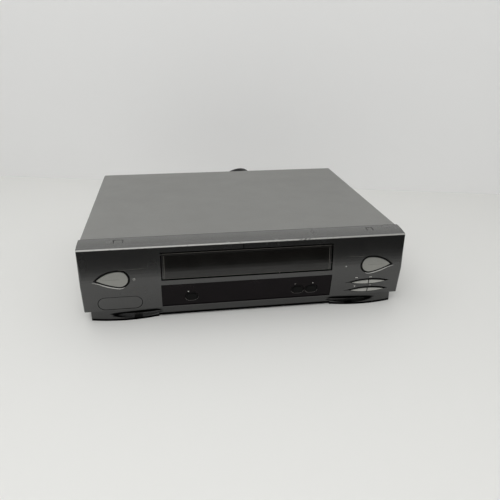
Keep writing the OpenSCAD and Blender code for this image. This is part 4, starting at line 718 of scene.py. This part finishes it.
# painted highlight along the front edge
edge_highlight = fascia.spread(z, EDGE_Z, EDGE_Z + 0.0003)
edge_highlight = fascia.both(edge_highlight, fascia.under(y, EDGE_Y, EDGE_Y + 0.0002))
fascia.tint(edge_highlight, srgb(150, 150, 146))
nick_near = fascia.spread(fascia.off(x, NICK_X), 0, NICK_REACH, 0.16, 0)
specks = fascia.noise(1, 2, fascia.stretched((420, 1400, 1400)))
nicks = fascia.spread(fascia.maths("ADD", specks, nick_near), 0.66, 0.7)
on_edge = fascia.both(fascia.spread(z, 0.0908, 0.0912), fascia.under(y, -0.1530, -0.1524))
fascia.tint(fascia.both(nicks, on_edge), srgb(24, 24, 23))

# painted shade: everything sunk behind the face is blackened, the openings, the shadow over
# the flap, the scoops in the plinth, and the lowest edge, which stands clear of the table
PLINTH_TOP, FACE_TOP, SUNK = 0.0142, 0.0903, 0.0003
HALF_INSIDE, HALF_LINTEL, HALF_FEET = 0.1884, 0.1008, 0.1049
SCOOP_X, SCOOP_Z, SCOOP_W, SCOOP_H = 0.131, 0.0088, 0.031, 0.0032
PLINTH_LOW, PLINTH_LIFT = 0.0026, 0.002
front = fascia.both(fascia.between(z, PLINTH_TOP, FACE_TOP), fascia.under(y, -0.141, -0.1405))
inside = fascia.under(fascia.off(x), HALF_INSIDE, HALF_INSIDE + 0.0002)
sunk = fascia.both(front, inside, fascia.spread(fascia.behind_face(), SUNK, SUNK + 0.0002))
lintel = fascia.both(
    fascia.between(z, 0.0850, 0.0860),
    fascia.under(fascia.off(x, SHIFT), HALF_LINTEL, HALF_LINTEL + 0.0001),
)
across = fascia.maths("DIVIDE", fascia.maths("SUBTRACT", fascia.off(x), SCOOP_X), SCOOP_W)
rise = fascia.maths("DIVIDE", fascia.maths("SUBTRACT", z, SCOOP_Z), SCOOP_H)
far = fascia.maths("ADD", *(fascia.maths("MULTIPLY", a, a) for a in (across, rise)))
scoop = fascia.both(fascia.under(far, 0.75, 1.1), fascia.under(z, PLINTH_TOP - 0.0001, PLINTH_TOP))
middle = fascia.under(fascia.off(x), HALF_FEET, HALF_FEET + 0.0002)
lowest = fascia.maths("ADD", fascia.maths("MULTIPLY", middle, PLINTH_LIFT), PLINTH_LOW)
fascia.unlit(sunk, lintel, scoop, fascia.maths("LESS_THAN", z, lowest))
# a share of metal over the dark base lets the plinth mirror less than the face does
fascia.metal(fascia.spread(z, PLINTH_TOP - 0.0003, PLINTH_TOP, 0.18, 0))

# %% [markdown]
# ## The buttons, the panels and the prints
# The drop-shaped and leaf-shaped buttons are silver lacquer over plastic, so they are
# partly metallic and softly rough, with painted shade in the gap between the leaves. The
# oval ones are plain black, and the ridges of their collars carry a painted highlight.
# The smoked panel and the window are dark and smoother than what surrounds them, with a
# roughness that drifts as wiped plastic's does. The patches of painted shade and painted
# highlight, and the prints, only need a colour that isn't quite even.

# %% Buttons, panels and prints
# the dishes and the slit patches are painted shade, the lips and the hairlines painted highlights,
# and the white is print
Finish("dish_shade", srgb(8, 8, 8), 0.4, Specular_IOR_Level=0.2).mottle(2000, 0.1)
Finish("lip_highlight", srgb(165, 165, 161), 0.4).mottle(900, 0.15)
Finish("print_white", srgb(176, 176, 170), 0.5).mottle(3000, 0.1)
Finish("slit_shadow", srgb(5, 5, 5), 0.9, Specular_IOR_Level=0.05).mottle(2000, 0.2)
Finish("hairline_highlight", srgb(70, 68, 63), 0.4).mottle(700, 0.3)

collar = Finish("collar_plastic", srgb(7, 6, 6), 0.4, Specular_IOR_Level=0.2)
collar.mottle(1500, 0.1)
# painted highlight: the lower half of the collar's ridge is lightened where it catches the light
ridge_highlight = collar.both(
    collar.under(collar.behind_face(), 0.00078, 0.00086),
    collar.spread(collar.axis("Z"), 0.0262, 0.0245),
)
collar.tint(ridge_highlight, srgb(125, 123, 120))

foil = Finish("foil_plate", srgb(168, 169, 170), 0.35, metallic=0.7)
foil.mottle(150, 0.06)
to_side = foil.maths("SUBTRACT", PLATE_W / 2, foil.off(foil.axis("X"), PLATE_X))
to_end = foil.maths("SUBTRACT", PLATE_H / 2, foil.off(foil.axis("Z"), PLATE_Z))
frame_line = foil.between(foil.maths("MINIMUM", to_side, to_end), 0.0012, 0.0016)
foil.tint(frame_line, srgb(40, 40, 42))

badge = Finish("badge_plastic", srgb(30, 30, 29), 0.26, Specular_IOR_Level=1.0, IOR=1.54)
badge.mottle(2000, 0.08).raised(badge.noise(2600), 0.00003, 0.3)

smoked = Finish("smoked_panel", srgb(9, 8, 6), 0.16, Specular_IOR_Level=0.6)
smoked.mottle(60, 0.2).rough(smoked.noise(25), 0.1, 0.22)

window = Finish("window_plastic", srgb(13, 9, 11), 0.24, Specular_IOR_Level=0.12)
window.mottle(60, 0.15).rough(window.noise(30), 0.18, 0.32)

flap = Finish("flap_plastic", srgb(16, 15, 13), 0.22, Specular_IOR_Level=0.8)
flap.mottle(1500, 0.1).raised(flap.noise(2400), 0.00002, 0.3)

silver = Finish("silver_button", srgb(138, 138, 133), 0.42, metallic=0.35)
silver.mottle(3200, 0.1).raised(silver.noise(2600), 0.00002, 0.3)
silver.tint(silver.under(silver.axis("Z"), 0.044, 0.046), srgb(166, 166, 161))
LEAF_X, LEAF_TOP, MARK_Z = 0.1502, 0.040, 0.0566
# painted shade in the gap between the two leaf-shaped buttons
shade_between_leaves = silver.both(
    silver.between(silver.axis("X"), LEAF_X - 0.0006, LEAF_X + 0.0006),
    silver.under(silver.axis("Z"), LEAF_TOP, LEAF_TOP + 0.001),
)
silver.tint(shade_between_leaves, srgb(30, 30, 30))
mark = silver.both(
    silver.between(silver.axis("Z"), MARK_Z, MARK_Z + 0.0003),
    silver.between(silver.off(silver.axis("X")), 0.146, 0.165),
)
silver.tint(silver.maths("MULTIPLY", mark, 0.6), srgb(70, 70, 68))
# only the caps are painted: the hidden rims and pegs are bare dark plastic
silver.tint(silver.spread(silver.behind_face(), 0.0008, 0.0010), DARK)

black_key = Finish("black_button", srgb(5, 5, 5), 0.4, Specular_IOR_Level=0.12)
black_key.mottle(800, 0.15).raised(black_key.noise(2500), 0.00002, 0.3)

black = Finish("black_plastic", srgb(26, 26, 27), 0.45)
black.mottle(900, 0.12).raised(black.noise(1800), 0.00004, 0.4)

ivory = Finish("ivory_plastic", srgb(226, 221, 204), 0.42)
ivory.mottle(70, 0.04).mottle(900, 0.03).raised(ivory.noise(900), 0.00003, 0.2)

grey = Finish("grey_plastic", srgb(104, 105, 107), 0.42)
grey.mottle(600, 0.06).raised(grey.noise(1500), 0.00003, 0.3)
print("plastics, paint and prints:", len(MATERIALS))

# %% [markdown]
# ## Rubber, metal and boards
# Inside are zinc-plated sheet, machined aluminium, acetal and rubber. Rolled sheet and
# turned parts show how they were made: plating has streaks along the way it was rolled,
# and a lathe leaves rings round its axis. Both are cheap to work out from Object
# coordinates, by stretching a noise and by the distance from the axis. The boards get
# their copper runs from a brick pattern.

# %% Rubber, metal and boards
rubber = Finish("rubber", srgb(28, 28, 28), 0.8)
rubber.mottle(1200, 0.15).raised(rubber.noise(2500, 3), 0.00006, 0.5)

cord_rubber = Finish("cord_rubber", srgb(24, 24, 25), 0.55)
cord_rubber.mottle(400, 0.15).raised(cord_rubber.noise(1500, 3), 0.00005, 0.5)


def plated(slot, colour, roughness, grain):
    """Rolled and plated sheet: faint streaks, drawn out along the axis with the smallest
    grain, cloudy passivation and a roughness that follows the streaks."""
    f = Finish(slot, colour, roughness, metallic=0.9)
    streaks = f.noise(1, 3, f.stretched(grain))
    f.mottle(35, 0.08)
    f.rough(streaks, roughness - 0.08, roughness + 0.1)
    return f.raised(streaks, 0.00002, 0.25)


zinc = plated("zinc_steel", srgb(186, 188, 190), 0.36, (60, 1600, 1600))
zinc.tint(zinc.spread(zinc.noise(22), 0.55, 0.75, 0, 0.35), srgb(186, 180, 158))
plated("bright_steel", srgb(205, 206, 208), 0.2, (1200, 1200, 40))
plated("brass", srgb(196, 164, 92), 0.3, (900, 900, 60))

chassis = Finish("chassis_plastic", srgb(84, 85, 87), 0.5, metallic=0.5)
chassis.mottle(500, 0.06).raised(chassis.noise(1200), 0.00004, 0.3)

panel = Finish("panel_paint", srgb(48, 48, 49), 0.55)
panel.mottle(1100, 0.1).raised(panel.noise(1500), 0.00006, 0.4)

SHEETS_PER_METRE = 2000
iron = Finish("iron_core", srgb(62, 60, 60), 0.5, metallic=0.4)
sheet = iron.maths("FRACT", iron.maths("MULTIPLY", iron.axis("X"), SHEETS_PER_METRE))
laminations = iron.under(sheet, 0, 0.25)
iron.tint(laminations, srgb(38, 37, 37)).raised(laminations, 0.00008, 0.5)

sleeve = Finish("capacitor_sleeve", srgb(34, 36, 78), 0.3)
sleeve.mottle(200, 0.1)
sleeve.tint(sleeve.spread(sleeve.noise(60, 1), 0.6, 0.62, 0, 0.4), srgb(50, 54, 96))


def turned_rings(f, centre_x, centre_y, per_metre):
    """Rings of a lathe tool: a sine of the distance from an upright axis."""
    flat = f.stretched((1, 1, 0), (-centre_x, -centre_y, 0))
    length = f.add("ShaderNodeVectorMath", {0: flat}, operation="LENGTH").outputs["Value"]
    return f.maths("SINE", f.maths("MULTIPLY", length, per_metre * 2 * math.pi))


DRUM_Y, RINGS_PER_METRE = 0.038, 2500
aluminium = Finish("aluminium", srgb(200, 201, 204), 0.3, metallic=0.9)
lathe = turned_rings(aluminium, 0.0, DRUM_Y, RINGS_PER_METRE)
aluminium.mottle(50, 0.04)
aluminium.rough(aluminium.spread(lathe, -1, 1), 0.24, 0.36).raised(lathe, 0.000003, 0.2)


def board(slot, colour, trace):
    """A circuit board: copper runs under the lacquer, which are the joints of a brick
    pattern where a broad noise is high, and tinned dots round scattered points."""
    f = Finish(slot, colour, 0.42)
    bricks = f.add(
        "ShaderNodeTexBrick",
        {"Vector": f.place, "Scale": 160.0, "Mortar Size": 0.12, "Brick Width": 1.4,
         "Row Height": 0.5, "Mortar Smooth": 0.1},
    ).outputs["Fac"]
    runs = f.maths("MULTIPLY", bricks, f.spread(f.noise(45, 1), 0.45, 0.47))
    f.tint(runs, trace)
    dots = f.add("ShaderNodeTexVoronoi", {"Vector": f.place, "Scale": 210.0}).outputs["Distance"]
    f.tint(f.under(dots, 0.1, 0.14), srgb(176, 176, 170))
    f.raised(runs, 0.00003, 0.4)


board("board_green", srgb(26, 60, 42), srgb(42, 84, 58))
board("board_brown", srgb(142, 98, 62), srgb(164, 118, 76))

glass = Finish("tube_glass", srgb(120, 140, 138), 0.06, Transmission_Weight=0.6, IOR=1.5)
glass.tint(glass.spread(glass.noise(220, 1), 0.5, 0.54), srgb(96, 112, 112))
print("finishes:", len(MATERIALS))

# %% [markdown]
# ## Dressing the model
# The record says which slot each node takes its finish from, so the nodes need no list
# of their own here. A material goes into the slots of a CAD object, and the object
# itself stays as it is. The new pieces get the finish that they were made with.

# %% Give every shown node and piece its finish
for row in frame["record"]["subparts"]:
    mesh = nodes[row["node"]].data
    mesh.materials.clear()
    mesh.materials.append(MATERIALS[row["material_slot"]])
for piece, slot in ALL_PIECES:
    piece.data.materials.clear()
    piece.data.materials.append(MATERIALS[slot])
print("dressed", len(nodes), "nodes and", len(ALL_PIECES), "pieces")

# %% [markdown]
# ## Table and wall
# The photograph has a white table that ends just outside the picture in front, and a
# white wall behind. What lies past that edge is dark, and the upper fascia mirrors it. So
# for mirrored rays the floor is dark past the edge, and the camera still sees a plain
# floor. The wall shows only from its front, so the back of the recorder can be seen too.

# %% Stage
FLOOR_TONE = srgb(226, 226, 223)
WALL_TONE = srgb(229, 229, 228)
TABLE_EDGE = -0.305


def stage_plane(name, corners, material):
    """One flat face that belongs to the stage, not to the recorder."""
    mesh = bpy.data.meshes.new(name)
    mesh.from_pydata(corners, [], [(0, 1, 2, 3)])
    mesh.materials.append(material)
    plane = bpy.data.objects.new(name, mesh)
    bpy.context.scene.collection.objects.link(plane)


floor_finish = Finish("floor", FLOOR_TONE, 0.6, Specular_IOR_Level=0.2)
past_edge = floor_finish.maths("LESS_THAN", floor_finish.axis("Y"), TABLE_EDGE)
mirrored = floor_finish.add("ShaderNodeLightPath").outputs["Is Glossy Ray"]
floor_finish.tint(floor_finish.maths("MULTIPLY", past_edge, mirrored), srgb(30, 30, 30))

wall_finish = Finish("wall", WALL_TONE, 0.9, Specular_IOR_Level=0.0)
tree = wall_finish.tree
behind = wall_finish.add("ShaderNodeNewGeometry").outputs["Backfacing"]
clear_shader = wall_finish.add("ShaderNodeBsdfTransparent")
choose = wall_finish.add("ShaderNodeMixShader", {0: behind})
tree.links.new(wall_finish.shader.outputs[0], choose.inputs[1])
tree.links.new(clear_shader.outputs[0], choose.inputs[2])
tree.links.new(choose.outputs[0], tree.nodes["Material Output"].inputs[0])

FLOOR_HALF, WALL_H = 4, 1.6
WALL_LEFT, WALL_RIGHT = (-1.4, 0.812), (1.1, 0.127)
corners = [(x * FLOOR_HALF, y * FLOOR_HALF, 0) for x, y in ((-1, -1), (1, -1), (1, 1), (-1, 1))]
stage_plane("floor", corners, floor_finish.material)
corners = [(*WALL_LEFT, 0), (*WALL_RIGHT, 0), (*WALL_RIGHT, WALL_H), (*WALL_LEFT, WALL_H)]
stage_plane("wall", corners, wall_finish.material)
print("stage: a floor and a wall; mirrored rays find the floor dark past", TABLE_EDGE)

# %% [markdown]
# ## The light
# The photograph's light is soft: a pale room, with a shadow only under the case. The
# world gives that even light, and mirrored rays find a dark room in front instead, since
# the glossy face would otherwise turn white. A broad lamp above gives the shadow, and a
# second one stands for the window in front, high behind the camera.

# %% Lamps and world
ROOM_SOFT = 0.46
ROOM_FRONT, ROOM_BACK = 0.06, 0.7
world = bpy.data.worlds.new("room")
bpy.context.scene.world = world
world.use_nodes = True
sky = world.node_tree.nodes["Background"]
sky.inputs["Color"].default_value = (1, 1, 1, 1)


def world_node(kind, inputs):
    """A node of the world; inputs are values or sockets by name or number."""
    node = world.node_tree.nodes.new(kind)
    for key, value in inputs.items():
        if isinstance(value, bpy.types.NodeSocket):
            world.node_tree.links.new(value, node.inputs[key])
        else:
            node.inputs[key].default_value = value
    return node


mirrored = world_node("ShaderNodeLightPath", {}).outputs["Is Glossy Ray"]
way_out = world_node("ShaderNodeTexCoord", {}).outputs["Generated"]
way_back = world_node("ShaderNodeSeparateXYZ", {0: way_out}).outputs["Y"]
# mirrored rays see a room that is dark in front and brightens towards the back
room = world_node(
    "ShaderNodeMapRange", {"Value": way_back, 1: -0.75, 2: -0.1, 3: ROOM_FRONT, 4: ROOM_BACK}
).outputs["Result"]
strength = world_node("ShaderNodeMix", {0: mirrored, 2: ROOM_SOFT, 3: room}).outputs[0]
world.node_tree.links.new(strength, sky.inputs["Strength"])


def area_lamp(name, place, size, power):
    """A square lamp that looks from its place at the middle of the recorder's foot."""
    data = bpy.data.lights.new(name, "AREA")
    data.shape, data.size, data.energy = "SQUARE", size, power
    lamp = bpy.data.objects.new(name, data)
    bpy.context.scene.collection.objects.link(lamp)
    aim = (-Vector(place)).to_track_quat("-Z", "Y").to_matrix()
    lamp.matrix_world = Matrix.Translation(place) @ aim.to_4x4()


area_lamp("ceiling", (-0.45, 0.1, 1.5), 1.5, 6)
area_lamp("window", (-0.3, -1.5, 1.3), 1.4, 18)
bpy.context.scene.view_settings.view_transform = "Standard"
print("light: a soft room, a lamp above and one for the window")
